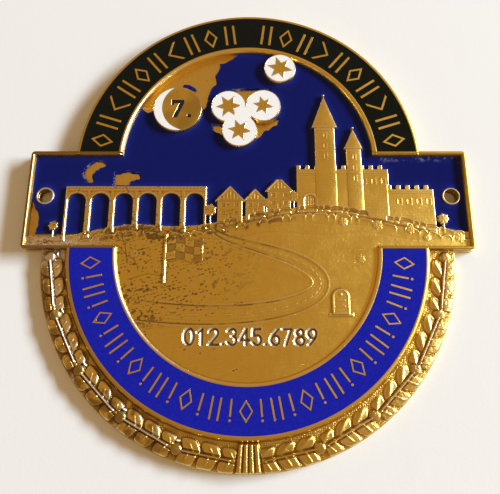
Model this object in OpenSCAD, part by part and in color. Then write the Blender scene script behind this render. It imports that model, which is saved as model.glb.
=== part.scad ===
// Rally plaque: one die-struck metal plate with separate coloured fills.
// The plaque lies on its back, face up. X is to the viewer's right, Y to the plaque's top.
// Plan sizes below are taken from the centre of the lower round field.

/* [Plate] */
// Thickness from the back to the tops of the rims
plate_t = 3.0; // [2.6:0.1:3.6]
// Thickness of the metal under the sunk sky
floor_t = 1.6; // [1.2:0.1:1.8]
// Width of the rims round the ears and the bands
rim_w = 0.75; // [0.6:0.05:0.9]
// Bevel on the outer top edges
edge_bevel = 0.2; // [0.1:0.05:0.3]

/* [Upper arch] */
// Outer radius of the arch
arch_r = 36.2; // [34:0.1:37]
// Height of the arch's centre over the lower field's centre
arch_rise = 18.2; // [16:0.1:20]
// Width of the black fill at its foot
arch_fill_w = 8.3; // [7.5:0.1:9]
// Height of the inner arch's centre over the outer arch's centre
arch_lift = 0.7; // [0:0.1:1.2]
// Width of the flat rim between the black fill and the sky
arch_rim_w = 0.5; // [0.4:0.05:0.8]
// Width of the slope that falls from this rim to the sky
arch_slope_w = 0.35; // [0.2:0.05:0.8]

/* [Ears] */
// Overall width across both ears
ear_span = 91.6; // [88:0.2:95]
// Height of the ear panel
ear_h = 21.3; // [19:0.1:23]
// Depth of the ear panel's lower edge under the lower field's centre
ear_drop = 0.3; // [0:0.1:1]
// Corner radius of the ears
ear_corner_r = 0.8; // [0.4:0.1:1.5]

/* [Lower band] */
// Outer radius of the band's outer rim
band_r = 36.5; // [35:0.1:38]
// Width of the bright blue fill
band_fill_w = 8.7; // [7.5:0.1:9.5]

/* [Fills] */
// Thickness of the sky enamel
sky_t = 0.4; // [0.2:0.05:0.5]
// Thickness of the black and the bright blue enamel
band_t = 0.5; // [0.3:0.05:0.7]
// Thickness of the white enamel
white_t = 0.35; // [0.2:0.05:0.5]
// Depth of the enamels' surface under the rims that they are flush with
fill_sink = 0.04; // [0.02:0.01:0.1]

/* [Mounting holes] */
// Diameter of the two holes
hole_d = 3.0; // [2.4:0.1:3.4]
// Distance of a hole's centre from the end of its ear
hole_inset = 3.6; // [3.2:0.1:4.5]
// Height of the holes over the panel's lower edge
hole_rise = 11.5; // [10:0.1:13]
// Width of the raised collar round each hole
collar_w = 0.4; // [0.3:0.05:0.6]
// Height of the collar over the sky enamel
collar_h = 0.25; // [0.1:0.05:0.5]

/* [Moon disc] */
// Diameter of the moon disc
moon_d = 10.6; // [9:0.1:11.5]
// Direction of the moon disc from the inner arch's centre
moon_angle = 141.5; // [138:0.5:146]
// Clear distance between the moon disc and the arch's slope
moon_gap = 1.7; // [0.6:0.1:2.4]
// Width of the crescent at its middle
crescent_w = 1.75; // [1.4:0.05:2.2]
// Turn of the crescent's middle below the level line
crescent_turn = 10; // [0:1:20]
// Height of the numeral
numeral_h = 4.2; // [3:0.1:4.6]
// Stroke width of the numeral
numeral_w = 0.75; // [0.5:0.05:0.9]
// Depth of the punched numeral
numeral_t = 0.25; // [0.1:0.05:0.35]

/* [Star discs] */
// Diameter of the single star disc
star_disc_d = 7; // [6.4:0.1:7.6]
// Direction of the single star disc from the inner arch's centre
star_angle = 72.3; // [68:0.5:76]
// Width that is left of the inner arch's rim beside the single star disc
star_edge = 0.6; // [0.3:0.05:0.7]
// Diameter of each disc of the cluster
cluster_disc_d = 7.6; // [7:0.1:8]
// Height of the cluster's middle over the inner arch's centre
cluster_rise = 10.85; // [9.5:0.05:12]
// Width of the thin rims of the moon and star discs
disc_rim_w = 0.2; // [0.15:0.05:0.35]
// Outer diameter of the single star
star_d = 5.9; // [5:0.1:6.2]
// Ratio of a star's inner to its outer diameter
star_waist = 0.47; // [0.38:0.01:0.55]

/* [Raised ornament] */
// Number of motifs in each half of the arch
arch_motifs = 10; // [8:1:11]
// Height of the arch's motifs
arch_motif_h = 4.9; // [4:0.1:5.5]
// Stroke width of the arch's motifs
arch_stroke = 0.5; // [0.4:0.05:0.7]
// Number of motifs in the band
band_motifs = 33; // [27:2:37]
// Height of the band's motifs
band_motif_h = 4.2; // [3.4:0.1:5]
// Stroke width of the band's motifs
band_stroke = 0.36; // [0.3:0.02:0.5]

/* [Oak wreath] */
// Width of the wreath outside the band
wreath_w = 5.5; // [5:0.1:6]
// Depth of the round outline's centre under the lower field's centre
wreath_drop = 0.5; // [0:0.1:0.8]
// Height of the wreath's ground over the back
wreath_ground_t = 1.7; // [1.65:0.05:2]
// Height of the leaves over their ground, at the middle rib
leaf_h = 0.8; // [0.6:0.05:0.9]
// Number of leaves on each side of the tie
leaves = 5; // [4:1:6]
// Number of lobes along each side of a leaf
lobes = 3; // [2:1:4]
// Width of the middle rib
rib_w = 0.5; // [0.3:0.05:0.6]
// Width of the tie at the foot of the wreath
tie_w = 4.2; // [3.6:0.1:5.2]
// Number of cords in the tie
tie_cords = 4; // [3:1:5]
// Offset of the tie to the right
tie_x = 0.5; // [0:0.1:1]

/* [Scenery] */
// Height of the ground over the back
ground_t = 2.25; // [2.1:0.05:2.4]
// Height of the viaduct and the houses over the ground
near_h = 0.4; // [0.3:0.05:0.55]
// Height of the castle's walls over the ground
castle_h = 0.5; // [0.4:0.05:0.55]
// Height of the round towers over the castle's walls
tower_h = 0.15; // [0.1:0.01:0.2]
// Depth of the engraved lines
engrave = 0.12; // [0.08:0.01:0.2]
// Width of the road at its near end
road_w = 4.2; // [3.4:0.1:5]
// Length of the chequered flag
flag_l = 7.4; // [6:0.1:8.4]

/* [Hidden] */
$fn = 64;
eps = 0.02;
far = 200;

// Radii that follow from the driving sizes
arch_outer_rim_w = rim_w - 0.15;
arch_fill_r = arch_r - arch_outer_rim_w;
arch_fill_in_r = arch_fill_r - arch_fill_w;
arch_rim_in_r = arch_fill_in_r - arch_rim_w;
sky_r = arch_rim_in_r - arch_slope_w;
band_fill_r = band_r - rim_w;
band_fill_in_r = band_fill_r - band_fill_w;
field_r = band_fill_in_r - rim_w;
wreath_r = band_r + wreath_w;
wreath_slope_w = 0.4;

// Heights that follow from the driving sizes
sky_top = floor_t + sky_t;
fill_top = plate_t - fill_sink;
band_floor = fill_top - band_t;
white_floor = fill_top - white_t;
collar_top = sky_top + collar_h;
leaf_top = wreath_ground_t + leaf_h;

// Ear panel
ear_bottom = -ear_drop;
ear_top = ear_h - ear_drop;
hole_x = ear_span / 2 - hole_inset;
hole_y = ear_bottom + hole_rise;
collar_r = hole_d / 2 + collar_w;

// The frame's origin is the middle of the plan, on the back
plan_mid_y = (arch_rise + arch_r - wreath_r - wreath_drop) / 2;

// Places in the sky, from the inner arch's centre
sky_mid_y = arch_rise + arch_lift;
moon_reach = sky_r - moon_gap - moon_d / 2;
moon_x = moon_reach * cos(moon_angle);
moon_y = sky_mid_y + moon_reach * sin(moon_angle);
crescent_out_r = moon_d / 2 - disc_rim_w;
crescent_mid_r = crescent_out_r - crescent_w;
crescent_off = (pow(crescent_out_r, 2) - pow(crescent_mid_r, 2)) / 2 / crescent_mid_r;
star_reach = arch_fill_in_r - star_edge - star_disc_d / 2;
star_turn = 17;
// Cluster: distance of each disc as a share of its diameter, its direction, the turn of its star,
// and the star's size as a share of the single star's
cluster_x = -0.87;
cluster_y = sky_mid_y + cluster_rise;
cluster_discs_at = [[0.5, 151, 33, 0.97], [0.615, 26, 18, 0.8], [0.52, 257, 22, 0.9]];
cluster_web = 0.25;

gold = [0.80, 0.60, 0.22];
night_blue = [0.05, 0.08, 0.36];
bright_blue = [0.10, 0.07, 0.72];

// Moves plan sizes taken from the lower field's centre into the part's own frame
module placed() {
    translate([0, -plan_mid_y, 0]) children();
}

// A flat shape raised from one height to another
module raised(z0, z1) {
    translate([0, 0, z0]) linear_extrude(z1 - z0) children();
}

// Turns a motif to stand along a radius, its middle at radius r
module on_arc(angle, r) {
    rotate(angle) translate([r, 0]) rotate(-90) children();
}

// Flat shapes of the plate

module above(y) {
    translate([-far / 2, y]) square([far, far]);
}

module below(y) {
    translate([-far / 2, y - far]) square([far, far]);
}

module ear_outline(inset) {
    r = max(ear_corner_r - inset, 0.15);
    w = ear_span - 2 * inset;
    h = ear_h - 2 * inset;
    translate([-w / 2, ear_bottom + inset]) union() {
        translate([r, 0]) square([w - 2 * r, h]);
        translate([0, r]) square([w, h - 2 * r]);
        for (x = [r, w - r], y = [r, h - r]) translate([x, y]) circle(r);
    }
}

module arch_disc(r) {
    translate([0, arch_rise]) circle(r, $fn = 180);
}

// The inner arch is struck a little higher than the outer one
module inner_arch_disc(r) {
    translate([0, arch_rise + arch_lift]) circle(r, $fn = 180);
}

module field_disc(r) {
    circle(r, $fn = 180);
}

module wreath_disc() {
    translate([0, -wreath_drop]) circle(wreath_r, $fn = 180);
}

module ear_rims() {
    difference() {
        ear_outline(0);
        ear_outline(rim_w);
        inner_arch_disc(arch_rim_in_r);
        field_disc(field_r);
    }
}

// The whole recess that the dark blue fill can reach
module sky_outline() {
    union() {
        ear_outline(rim_w);
        intersection() {
            inner_arch_disc(sky_r);
            above(ear_top - rim_w - eps);
        }
    }
}

module arch_fill_outline() {
    intersection() {
        difference() {
            arch_disc(arch_fill_r);
            inner_arch_disc(arch_fill_in_r);
        }
        above(ear_top);
    }
}

module band_fill_outline() {
    intersection() {
        difference() {
            field_disc(band_fill_r);
            field_disc(band_fill_in_r);
        }
        below(ear_bottom);
    }
}

// Raised ornament: strokes, open lozenges and pointers, evenly spaced on their arc

module lozenge(w, h, stroke) {
    open_w = w / 2 - stroke * 0.9;
    open_h = open_w * h / w;
    difference() {
        polygon([[-w / 2, 0], [0, -h / 2], [w / 2, 0], [0, h / 2]]);
        polygon([[-open_w, 0], [0, -open_h], [open_w, 0], [0, open_h]]);
    }
}

module post(h, stroke) {
    translate([-stroke / 2, -h / 2]) square([stroke, h]);
}

module pointer(w, h, stroke) {
    thick = stroke * 1.2;
    polygon([
        [-w / 2, -h / 2], [thick - w / 2, -h / 2], [w / 2, 0],
        [thick - w / 2, h / 2], [-w / 2, h / 2], [w / 2 - thick, 0]
    ]);
}

module motif(kind, h, stroke) {
    w = h * 0.62;
    if (kind == 0) lozenge(w, h, stroke);
    if (kind == 1) for (s = [-1, 1]) translate([s * w * 0.3, 0]) post(h, stroke);
    if (kind == 2) pointer(w, h, stroke);
    if (kind == 3) union() {
        translate([0, h * 0.12]) post(h * 0.76, stroke);
        translate([0, -h * 0.42]) circle(stroke * 0.7, $fn = 24);
    }
}

module arch_ornament() {
    mid_r = (arch_fill_r + arch_fill_in_r) / 2;
    foot = asin((ear_top - arch_rise) / mid_r);
    first = foot + 4.5;
    last = 90 - 7.5;
    step = (last - first) / (arch_motifs - 1);
    translate([0, arch_rise]) for (side = [0, 1], i = [0 : arch_motifs - 1])
        mirror([side, 0]) on_arc(first + i * step, mid_r)
            motif([0, 1, 2, 1][i % 4], arch_motif_h, arch_stroke);
}

module band_ornament() {
    mid_r = (band_fill_r + band_fill_in_r) / 2;
    first = 6;
    step = (180 - 2 * first) / (band_motifs - 1);
    for (i = [0 : band_motifs - 1])
        on_arc(180 + first + i * step, mid_r) rotate(180)
            motif([0, 3, 1, 3][i % 4], band_motif_h, band_stroke);
}

// Moon and stars

module star(d, turn) {
    polygon([
        for (i = [0 : 11])
            let (r = d / 2 * (i % 2 == 0 ? 1 : star_waist), a = 90 + turn + i * 30)
                [r * cos(a), r * sin(a)]
    ]);
}

module at_single_star() {
    translate([star_reach * cos(star_angle), sky_mid_y + star_reach * sin(star_angle)]) children();
}

module at_cluster(s) {
    reach = s[0] * cluster_disc_d;
    translate([cluster_x + reach * cos(s[1]), cluster_y + reach * sin(s[1])]) children();
}

module star_discs(inset) {
    at_single_star() circle(star_disc_d / 2 - inset);
}

// The web joins the three discs of the cluster
module cluster_discs(inset) {
    for (s = cluster_discs_at) at_cluster(s) circle(cluster_disc_d / 2 - inset);
    translate([cluster_x, cluster_y]) circle(cluster_disc_d * cluster_web - inset);
}

module single_star_shape() {
    at_single_star() star(star_d, star_turn);
}

module cluster_star_shapes() {
    for (s = cluster_discs_at) at_cluster(s) star(star_d * s[3], s[2]);
}

module moon_disc(inset) {
    translate([moon_x, moon_y]) circle(moon_d / 2 - inset);
}

// A half-moon's crescent: its horns end where a bigger circle meets the ends of one diameter
module crescent() {
    difference() {
        moon_disc(disc_rim_w);
        translate([moon_x, moon_y]) rotate(crescent_turn) translate([crescent_off, 0])
            circle(crescent_off + crescent_mid_r, $fn = 96);
    }
}

// A plain numeral seven with its stop, drawn round the middle of the disc
module numeral() {
    h = numeral_h;
    w = numeral_w;
    half = h * 0.31;
    foot = -half * 0.1;
    leg_w = w * 1.1;
    stop_r = w * 0.52;
    translate([moon_x, moon_y]) union() {
        translate([-half, h / 2 - w]) square([2 * half, w]);
        translate([-half, h / 2 - 1.6 * w]) square([w * 0.6, w]);
        polygon([
            [half - leg_w, h / 2 - w], [half, h / 2 - w], [foot, -h / 2], [foot - leg_w, -h / 2]
        ]);
        translate([half + 1.5 * leg_w, stop_r - h / 2]) circle(stop_r, $fn = 32);
    }
}

// Scenery

// Hills of the skyline: place, half width and height
skyline_base = 2.3;
skyline_hills = [[-24, 9, 2.2], [14, 24, 6.6]];
function skyline(x) = skyline_base + sum([for (h = skyline_hills) h[2] * exp(-pow((x - h[0]) / h[1], 2))]);
function sum(v) = v * [for (i = v) 1];

module hills() {
    half = ear_span / 2;
    n = 52;
    polygon([
        [half, -far / 2], [-half, -far / 2],
        for (i = [0 : n]) let (x = -half + ear_span * i / n) [x, skyline(x)]
    ]);
}

// Buildings stand a little way down the hills' near side, so that their feet follow the ground
building_foot = 1.2;

module on_hills() {
    difference() {
        children();
        translate([0, -building_foot]) hills();
    }
}

// Viaduct with round arches, its deck level from hill to hill
viaduct_x = 2.5 + collar_r - hole_x;
viaduct_foot = 1;
viaduct_top = 13.2;
viaduct_arches = 6;
viaduct_pitch = 4.9;
viaduct_pier = 1.2;
viaduct_deck = 1.6;

module viaduct() {
    length = viaduct_arches * viaduct_pitch;
    arch = (viaduct_pitch - viaduct_pier) / 2;
    spring = viaduct_top - viaduct_foot - arch - viaduct_deck;
    translate([viaduct_x, viaduct_foot]) difference() {
        square([length, viaduct_top - viaduct_foot]);
        for (i = [0 : viaduct_arches - 1]) translate([viaduct_pitch * (i + 0.5), 0]) union() {
            translate([0, spring]) circle(arch, $fn = 48);
            translate([-arch, -1]) square([2 * arch, spring + 1]);
        }
    }
}

// Line along the deck's foot
module deck_line() {
    translate([viaduct_x, viaduct_top - 0.8]) square([viaduct_arches * viaduct_pitch, 0.2]);
}

// Gabled houses: left edge, foot, width and height of the wall, height of the gable
houses = [[-6.2, 4.2, 5.2, 6, 2.8], [-0.4, 5.6, 4, 4.6, 2.2], [4.2, 6.4, 4.8, 6, 2.6]];

module house(h) {
    translate([h[0], h[1]])
        polygon([[0, 0], [h[2], 0], [h[2], h[3]], [h[2] / 2, h[3] + h[4]], [0, h[3]]]);
}

// Door in the middle and a window on each side of it
module house_openings(h) {
    door = h[2] * 0.2;
    translate([h[0] + h[2] / 2, h[1]]) union() {
        translate([-door / 2, 1.2]) square([door, h[3] * 0.4]);
        for (side = [-1, 1]) translate([side * h[2] * 0.3 - door * 0.4, h[3] * 0.62])
            square([door * 0.8, door]);
        translate([-door * 0.4, h[3] + 0.3]) square([door * 0.8, door]);
    }
}

// Castle: two round towers with pointed roofs, given as place, width, wall top and roof height,
// and two walls with battlements, given as left end, right end and top
towers = [[16.4, 4.4, 26.6, 7.6], [22.4, 3.2, 21.6, 4.8]];
castle_walls = [[10.2, 29.4, 17], [29, hole_x - collar_r - 1.8, 12.6]];
castle_foot = 3;
shaft_foot = 8.2;
merlon = 0.95;
roof_eaves = 1.28;
slit_w = 0.5;
slit_h = 1.3;
gate_x = 12.9;
gate_r = 1.1;
gate_y = 7.95;

module tower(t) {
    eaves = t[1] * roof_eaves / 2;
    translate([t[0], 0]) union() {
        translate([-t[1] / 2, castle_foot]) square([t[1], t[2] - castle_foot]);
        polygon([[-eaves, t[2]], [eaves, t[2]], [0, t[2] + t[3]]]);
    }
}

// A tower's shaft swells over the flat of the castle
module tower_body(t) {
    half = t[1] / 2;
    sunk = tower_h + 0.2;
    round_r = (half * half + sunk * sunk) / 2 / sunk;
    intersection() {
        raised(floor_t, plate_t) translate([t[0] - half + 0.3, shaft_foot])
            square([2 * half - 0.6, t[2] - shaft_foot - 0.6]);
        translate([t[0], 0, ground_t + castle_h + tower_h - round_r]) rotate([-90, 0, 0])
            cylinder(r = round_r, h = t[2], $fn = 90);
    }
}

module battlement(w) {
    count = floor((w[1] - w[0] + merlon) / (2 * merlon));
    translate([w[0], castle_foot]) square([w[1] - w[0], w[2] - castle_foot]);
    for (i = [0 : count - 1])
        translate([w[0] + 2 * merlon * i, w[2] - eps]) square([merlon, merlon]);
}

module castle() {
    union() {
        for (t = towers) tower(t);
        for (w = castle_walls) battlement(w);
    }
}

// Slits of the towers and the walls, and the round-topped gate
module castle_openings() {
    for (t = towers, k = [0 : 2])
        translate([t[0] - slit_w / 2, t[2] - (2.4 * k + 2.6)]) square([slit_w, slit_h]);
    for (w = castle_walls, k = [0 : 3])
        translate([w[1] - 1.3 - 1.9 * k, w[2] - 3.4]) square([slit_w, slit_h]);
    translate([gate_x, gate_y]) union() {
        translate([-gate_r, 0]) square([2 * gate_r, 2 * gate_r]);
        translate([0, 2 * gate_r]) circle(gate_r, $fn = 48);
    }
}

module skyline_shape() {
    hills();
    on_hills() {
        viaduct();
        for (h = houses) house(h);
        castle();
    }
}

// Chequered flag on a pole, its cloth waved; plan sizes are shares of the flag's length
flag_x = -0.62 * field_r;
flag_y = -0.27 * field_r;
flag_pole_w = 0.5;
flag_columns = 4;
flag_rows = 3;
flag_cell = flag_l / flag_columns;
flag_margin = 0.05;
function flag_point(i, j) = flag_cell * [i, j * 0.86 + 0.22 * sin(i * 85)];

module flag_pole() {
    translate([flag_x - flag_pole_w, flag_y]) square([flag_pole_w, flag_l * 1.28]);
}

// Part of the cloth from column i0 to i1 and from row j0 to j1
module flag_part(i0, i1, j0, j1) {
    steps = 2 * ceil(i1 - i0);
    translate([flag_x, flag_y + flag_l * 0.6]) polygon([
        for (k = [0 : steps]) flag_point(i0 + (i1 - i0) * k / steps, j0),
        for (k = [steps : -1 : 0]) flag_point(i0 + (i1 - i0) * k / steps, j1)
    ]);
}

module flag_cloth() {
    flag_part(-flag_margin, flag_columns, 0, flag_rows);
}

// Every second square is raised; the margin keeps their corners apart
module flag_squares() {
    m = flag_margin;
    for (i = [0 : flag_columns - 1], j = [0 : flag_rows - 1])
        if ((i + j) % 2 == 0) flag_part(i + m, i + 1 - m, j + m, j + 1 - m);
}

// Milestone with a round top and two engraved lines; sizes are shares of the field's radius
stone_x = 0.7 * field_r;
stone_y = -0.51 * field_r;
stone_r = 0.065 * field_r;

module milestone() {
    translate([stone_x, stone_y]) union() {
        translate([-stone_r, 0]) square([2 * stone_r, 2 * stone_r]);
        translate([0, 2 * stone_r]) circle(stone_r, $fn = 48);
        translate([-1.4 * stone_r, -0.3]) square([2.8 * stone_r, 0.6]);
    }
}

module milestone_lines() {
    for (k = [0.9, 1.6])
        translate([stone_x - stone_r * 0.6, stone_y + stone_r * k]) square([stone_r * 1.2, 0.25]);
}

// The road winds from the field's left rim to the houses as two joined curves, getting narrower.
// Their control points are shares of the field's radius.
road_near = [[-1.06, -0.44], [0.1, -0.66], [0.98, -0.36], [0.34, -0.08]];
road_far = [[0.34, -0.08], [0.055, 0.0325], [-0.26, 0.06], [-0.3, 0.2]];
road_steps = 30;
road_line_w = 0.3;
function curve(p, t) =
    pow(1 - t, 3) * p[0] + 3 * t * pow(1 - t, 2) * p[1] + 3 * t * t * (1 - t) * p[2] + pow(t, 3) * p[3];
function road_mid(t) = field_r * (t < 1 ? curve(road_near, t) : curve(road_far, t - 1));
function road_half(t) = road_w / 2 * (1 - 0.42 * t);
function road_side(t, reach) =
    let (run = road_mid(t + 0.01) - road_mid(t - 0.01))
        road_mid(t) + reach * [-run[1], run[0]] / norm(run);

module road_edge(side) {
    polygon([
        for (i = [1 : road_steps - 1]) let (t = 2 * i / road_steps) road_side(t, side * road_half(t)),
        for (i = [road_steps - 1 : -1 : 1])
            let (t = 2 * i / road_steps) road_side(t, side * (road_half(t) + road_line_w))
    ]);
}

// Oak wreath: each leaf lies straight along its middle rib, its tip over the next leaf's foot

leaf_mid_r = band_r + wreath_w * 0.61;
leaf_end_drop = 1.3;
tie_angle = asin(tie_w / 2 / leaf_mid_r);
tie_turn = asin(tie_x / leaf_mid_r);
leaf_span = 90 - tie_angle - asin(leaf_end_drop / leaf_mid_r);
function leaf_step(side) = (leaf_span + (2 * side - 1) * tie_turn) / leaves;
leaf_l = 2 * leaf_mid_r * sin(leaf_step(0) / 2);
lobe_r = wreath_w * 0.18;
lobe_pitch = leaf_l / (lobes + 0.35);
// Reach of the inner and of the outer lobes from the middle rib
lobe_in = wreath_w * 0.45;
lobe_out = wreath_w * 0.33;

// The leaves' shapes are drawn along Y, each with its tip at the origin and its foot below

module leaf_tip() {
    translate([0, -lobe_r * 0.6]) circle(lobe_r * 1.1);
}

// Lobes in pairs, each one drawn out towards the tip
module leaf_lobes() {
    for (k = [1 : lobes], s = [[-1, lobe_in], [1, lobe_out]])
        translate([s[0] * (s[1] - lobe_r), lobe_pitch * (0.15 - k)]) union() {
            translate([-s[0] * lobe_r * 0.1, 0]) circle(lobe_r * 0.92);
            translate([0, lobe_r * 0.55]) circle(lobe_r);
        }
}

module leaf_web() {
    translate([-lobe_r, lobe_r - leaf_l]) square([2 * lobe_r, leaf_l - 2 * lobe_r]);
}

module leaf_rib() {
    translate([-rib_w / 2, lobe_r - leaf_l]) square([rib_w, leaf_l - 1.6 * lobe_r]);
}

module each_leaf() {
    for (side = [0, 1], k = [1 : leaves])
        mirror([side, 0]) rotate(-90 + tie_angle + (1 - 2 * side) * tie_turn + k * leaf_step(side))
            translate([leaf_mid_r, 0]) rotate(-leaf_step(side) / 2) children();
}

module wreath() {
    raised(floor_t - 0.3, wreath_ground_t + leaf_h * 0.3) each_leaf() leaf_web();
    raised(floor_t - 0.3, wreath_ground_t + leaf_h * 0.7) each_leaf() leaf_lobes();
    raised(floor_t - 0.3, leaf_top) {
        each_leaf() leaf_tip();
        each_leaf() leaf_rib();
    }
}

// Cords of the tie, laid side by side across the wreath
module tie() {
    pitch = tie_w / tie_cords;
    cord_r = pitch * 0.62;
    mid_y = -band_r - wreath_slope_w - (wreath_w + wreath_drop - wreath_slope_w) / 2;
    for (i = [0 : tie_cords - 1])
        translate([tie_x + (i - (tie_cords - 1) / 2) * pitch, mid_y, leaf_top - cord_r])
            rotate([90, 0, 0]) cylinder(r = cord_r, h = wreath_w - 0.4, center = true, $fn = 32);
}

// The metal

module blank() {
    raised(0, floor_t) union() {
        ear_outline(0);
        intersection() {
            arch_disc(arch_r);
            above(ear_top - 1);
        }
        intersection() {
            wreath_disc();
            below(ear_bottom + 1);
        }
    }
}

module arch_ring() {
    intersection() {
        union() {
            difference() {
                translate([0, arch_rise, 0]) rotate_extrude($fn = 180) polygon([
                    [0, floor_t - 0.4], [0, band_floor], [arch_fill_r, band_floor], [arch_fill_r, plate_t],
                    [arch_r - edge_bevel, plate_t], [arch_r, plate_t - edge_bevel], [arch_r, floor_t - 0.4]
                ]);
                raised(0, far) inner_arch_disc(arch_fill_in_r - arch_rim_w / 2);
            }
            translate([0, arch_rise + arch_lift, 0]) rotate_extrude($fn = 180) polygon([
                [sky_r, floor_t - 0.4], [sky_r, sky_top], [arch_rim_in_r, plate_t],
                [arch_fill_in_r, plate_t], [arch_fill_in_r, floor_t - 0.4]
            ]);
        }
        raised(0, far) above(ear_top - rim_w);
    }
}

module band_ring() {
    intersection() {
        rotate_extrude($fn = 180) polygon([
            [field_r, floor_t - 0.4], [field_r, plate_t], [band_fill_in_r, plate_t],
            [band_fill_in_r, band_floor], [band_fill_r, band_floor], [band_fill_r, plate_t],
            [band_r - edge_bevel, plate_t], [band_r + wreath_slope_w, wreath_ground_t],
            [band_r + wreath_slope_w, floor_t - 0.4]
        ]);
        raised(0, far) below(ear_bottom + rim_w / 2);
    }
}

module wreath_ground() {
    raised(floor_t - 0.4, wreath_ground_t) difference() {
        intersection() {
            wreath_disc();
            below(ear_bottom + rim_w / 2);
        }
        field_disc(band_r);
    }
}

module sky_posts() {
    raised(floor_t - 0.3, plate_t) {
        moon_disc(0);
        star_discs(0);
        cluster_discs(0);
    }
    raised(floor_t - 0.3, collar_top)
        for (s = [-1, 1]) translate([s * hole_x, hole_y]) circle(collar_r);
}

module scenery() {
    raised(floor_t - 0.35, ground_t) intersection() {
        hills();
        union() {
            ear_outline(rim_w / 2);
            field_disc(field_r + rim_w / 2);
        }
    }
    raised(floor_t - 0.35, ground_t + near_h) on_hills() {
        viaduct();
        for (h = houses) house(h);
    }
    raised(floor_t - 0.35, ground_t + castle_h) on_hills() castle();
    for (t = towers) tower_body(t);
    raised(floor_t - 0.35, ground_t + near_h) {
        milestone();
        flag_pole();
        flag_squares();
    }
    raised(floor_t - 0.35, ground_t + near_h / 2) flag_cloth();
}

module ornament() {
    raised(band_floor - 0.2, plate_t) {
        arch_ornament();
        band_ornament();
    }
}

module recesses() {
    raised(white_floor, plate_t + 1) {
        crescent();
        difference() {
            star_discs(disc_rim_w);
            single_star_shape();
        }
        difference() {
            cluster_discs(disc_rim_w);
            cluster_star_shapes();
        }
    }
    raised(plate_t - numeral_t, plate_t + 1) numeral();
    raised(ground_t - engrave, plate_t + 1) for (side = [-1, 1]) road_edge(side);
    raised(ground_t + near_h - engrave, plate_t + 1) {
        deck_line();
        milestone_lines();
        for (h = houses) house_openings(h);
    }
    raised(ground_t + castle_h - 2 * engrave, plate_t + 1) castle_openings();
    for (s = [-1, 1]) translate([s * hole_x, hole_y, -1]) cylinder(d = hole_d, h = plate_t + 2);
}

module struck_plate() {
    color(gold) placed() difference() {
        union() {
            blank();
            arch_ring();
            band_ring();
            wreath_ground();
            raised(floor_t - 0.4, plate_t) ear_rims();
            sky_posts();
            scenery();
            ornament();
            wreath();
            tie();
        }
        recesses();
    }
}

// The fills

module arch_enamel() {
    color([0.06, 0.07, 0.06]) placed() raised(band_floor, fill_top) difference() {
        arch_fill_outline();
        arch_ornament();
    }
}

module band_enamel() {
    color(bright_blue) placed() raised(band_floor, fill_top) difference() {
        band_fill_outline();
        band_ornament();
    }
}

// Where the dark blue has chipped off: the big patch round the moon, and a strip in the left ear
module chips() {
    translate([moon_x, moon_y]) polygon([
        [-6.7, -0.4], [-12, 5], [-5, 16], [12.2, 19], [12.4, 14], [10.6, 12.2], [8.9, 11.7], [8.8, 10.2],
        [8.1, 9.2], [8, 6.4], [7, 5.6], [6.6, 4], [5.8, 0.6], [3.2, -1], [-3.8, 0.5]
    ]);
    translate([-ear_span / 2, ear_bottom]) polygon([
        [-0.5, 10.7], [1, 10.5], [1.6, 8.9], [2.3, 8.3], [2.5, 5.7], [2.1, 2.9], [-0.5, 2.3]
    ]);
}

module flake() {
    translate([moon_x, moon_y])
        polygon([[0.3, 5.4], [1, 6.6], [2.2, 6.5], [3.9, 5.6], [3.7, 5.05], [2.2, 5.45]]);
}

module sky_fill() {
    difference() {
        sky_outline();
        skyline_shape();
        moon_disc(0);
        star_discs(0);
        cluster_discs(0);
        for (s = [-1, 1]) translate([s * hole_x, hole_y]) circle(collar_r);
        chips();
    }
}

module sky_enamel() {
    color(night_blue) placed() raised(floor_t, sky_top) sky_fill();
}

module sky_enamel_flake() {
    color(night_blue) placed() raised(floor_t, sky_top) difference() {
        flake();
        moon_disc(0);
    }
}

module crescent_enamel() {
    color("white") placed() raised(white_floor, fill_top) crescent();
}

module star_enamel() {
    color("white") placed() raised(white_floor, fill_top) difference() {
        star_discs(disc_rim_w);
        single_star_shape();
    }
}

module star_cluster_enamel() {
    color("white") placed() raised(white_floor, fill_top) difference() {
        cluster_discs(disc_rim_w);
        cluster_star_shapes();
    }
}

module numeral_paint() {
    color([0.05, 0.05, 0.05]) placed() raised(plate_t - numeral_t, fill_top) numeral();
}

struck_plate();
arch_enamel();
sky_enamel();
sky_enamel_flake();
band_enamel();
crescent_enamel();
star_enamel();
star_cluster_enamel();
numeral_paint();
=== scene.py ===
"""Rally plaque: the struck gilt plate, its coloured fills, the finishes, the studio and the camera.

All shapes are worked out in millimetres with the lower round field's centre as the origin, X to the
viewer's right and Y to the plaque's top, as in the part's source. They are moved into the shared
frame, in metres, when they become meshes.
"""
from __future__ import annotations

import logging
import math
from dataclasses import dataclass, field, replace
from enum import Enum
from typing import Sequence

import bpy
import numpy as np
from bpy.types import ID, Material, Node, NodeSocket, NodeTree, Object
from mathutils import Matrix

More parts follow.
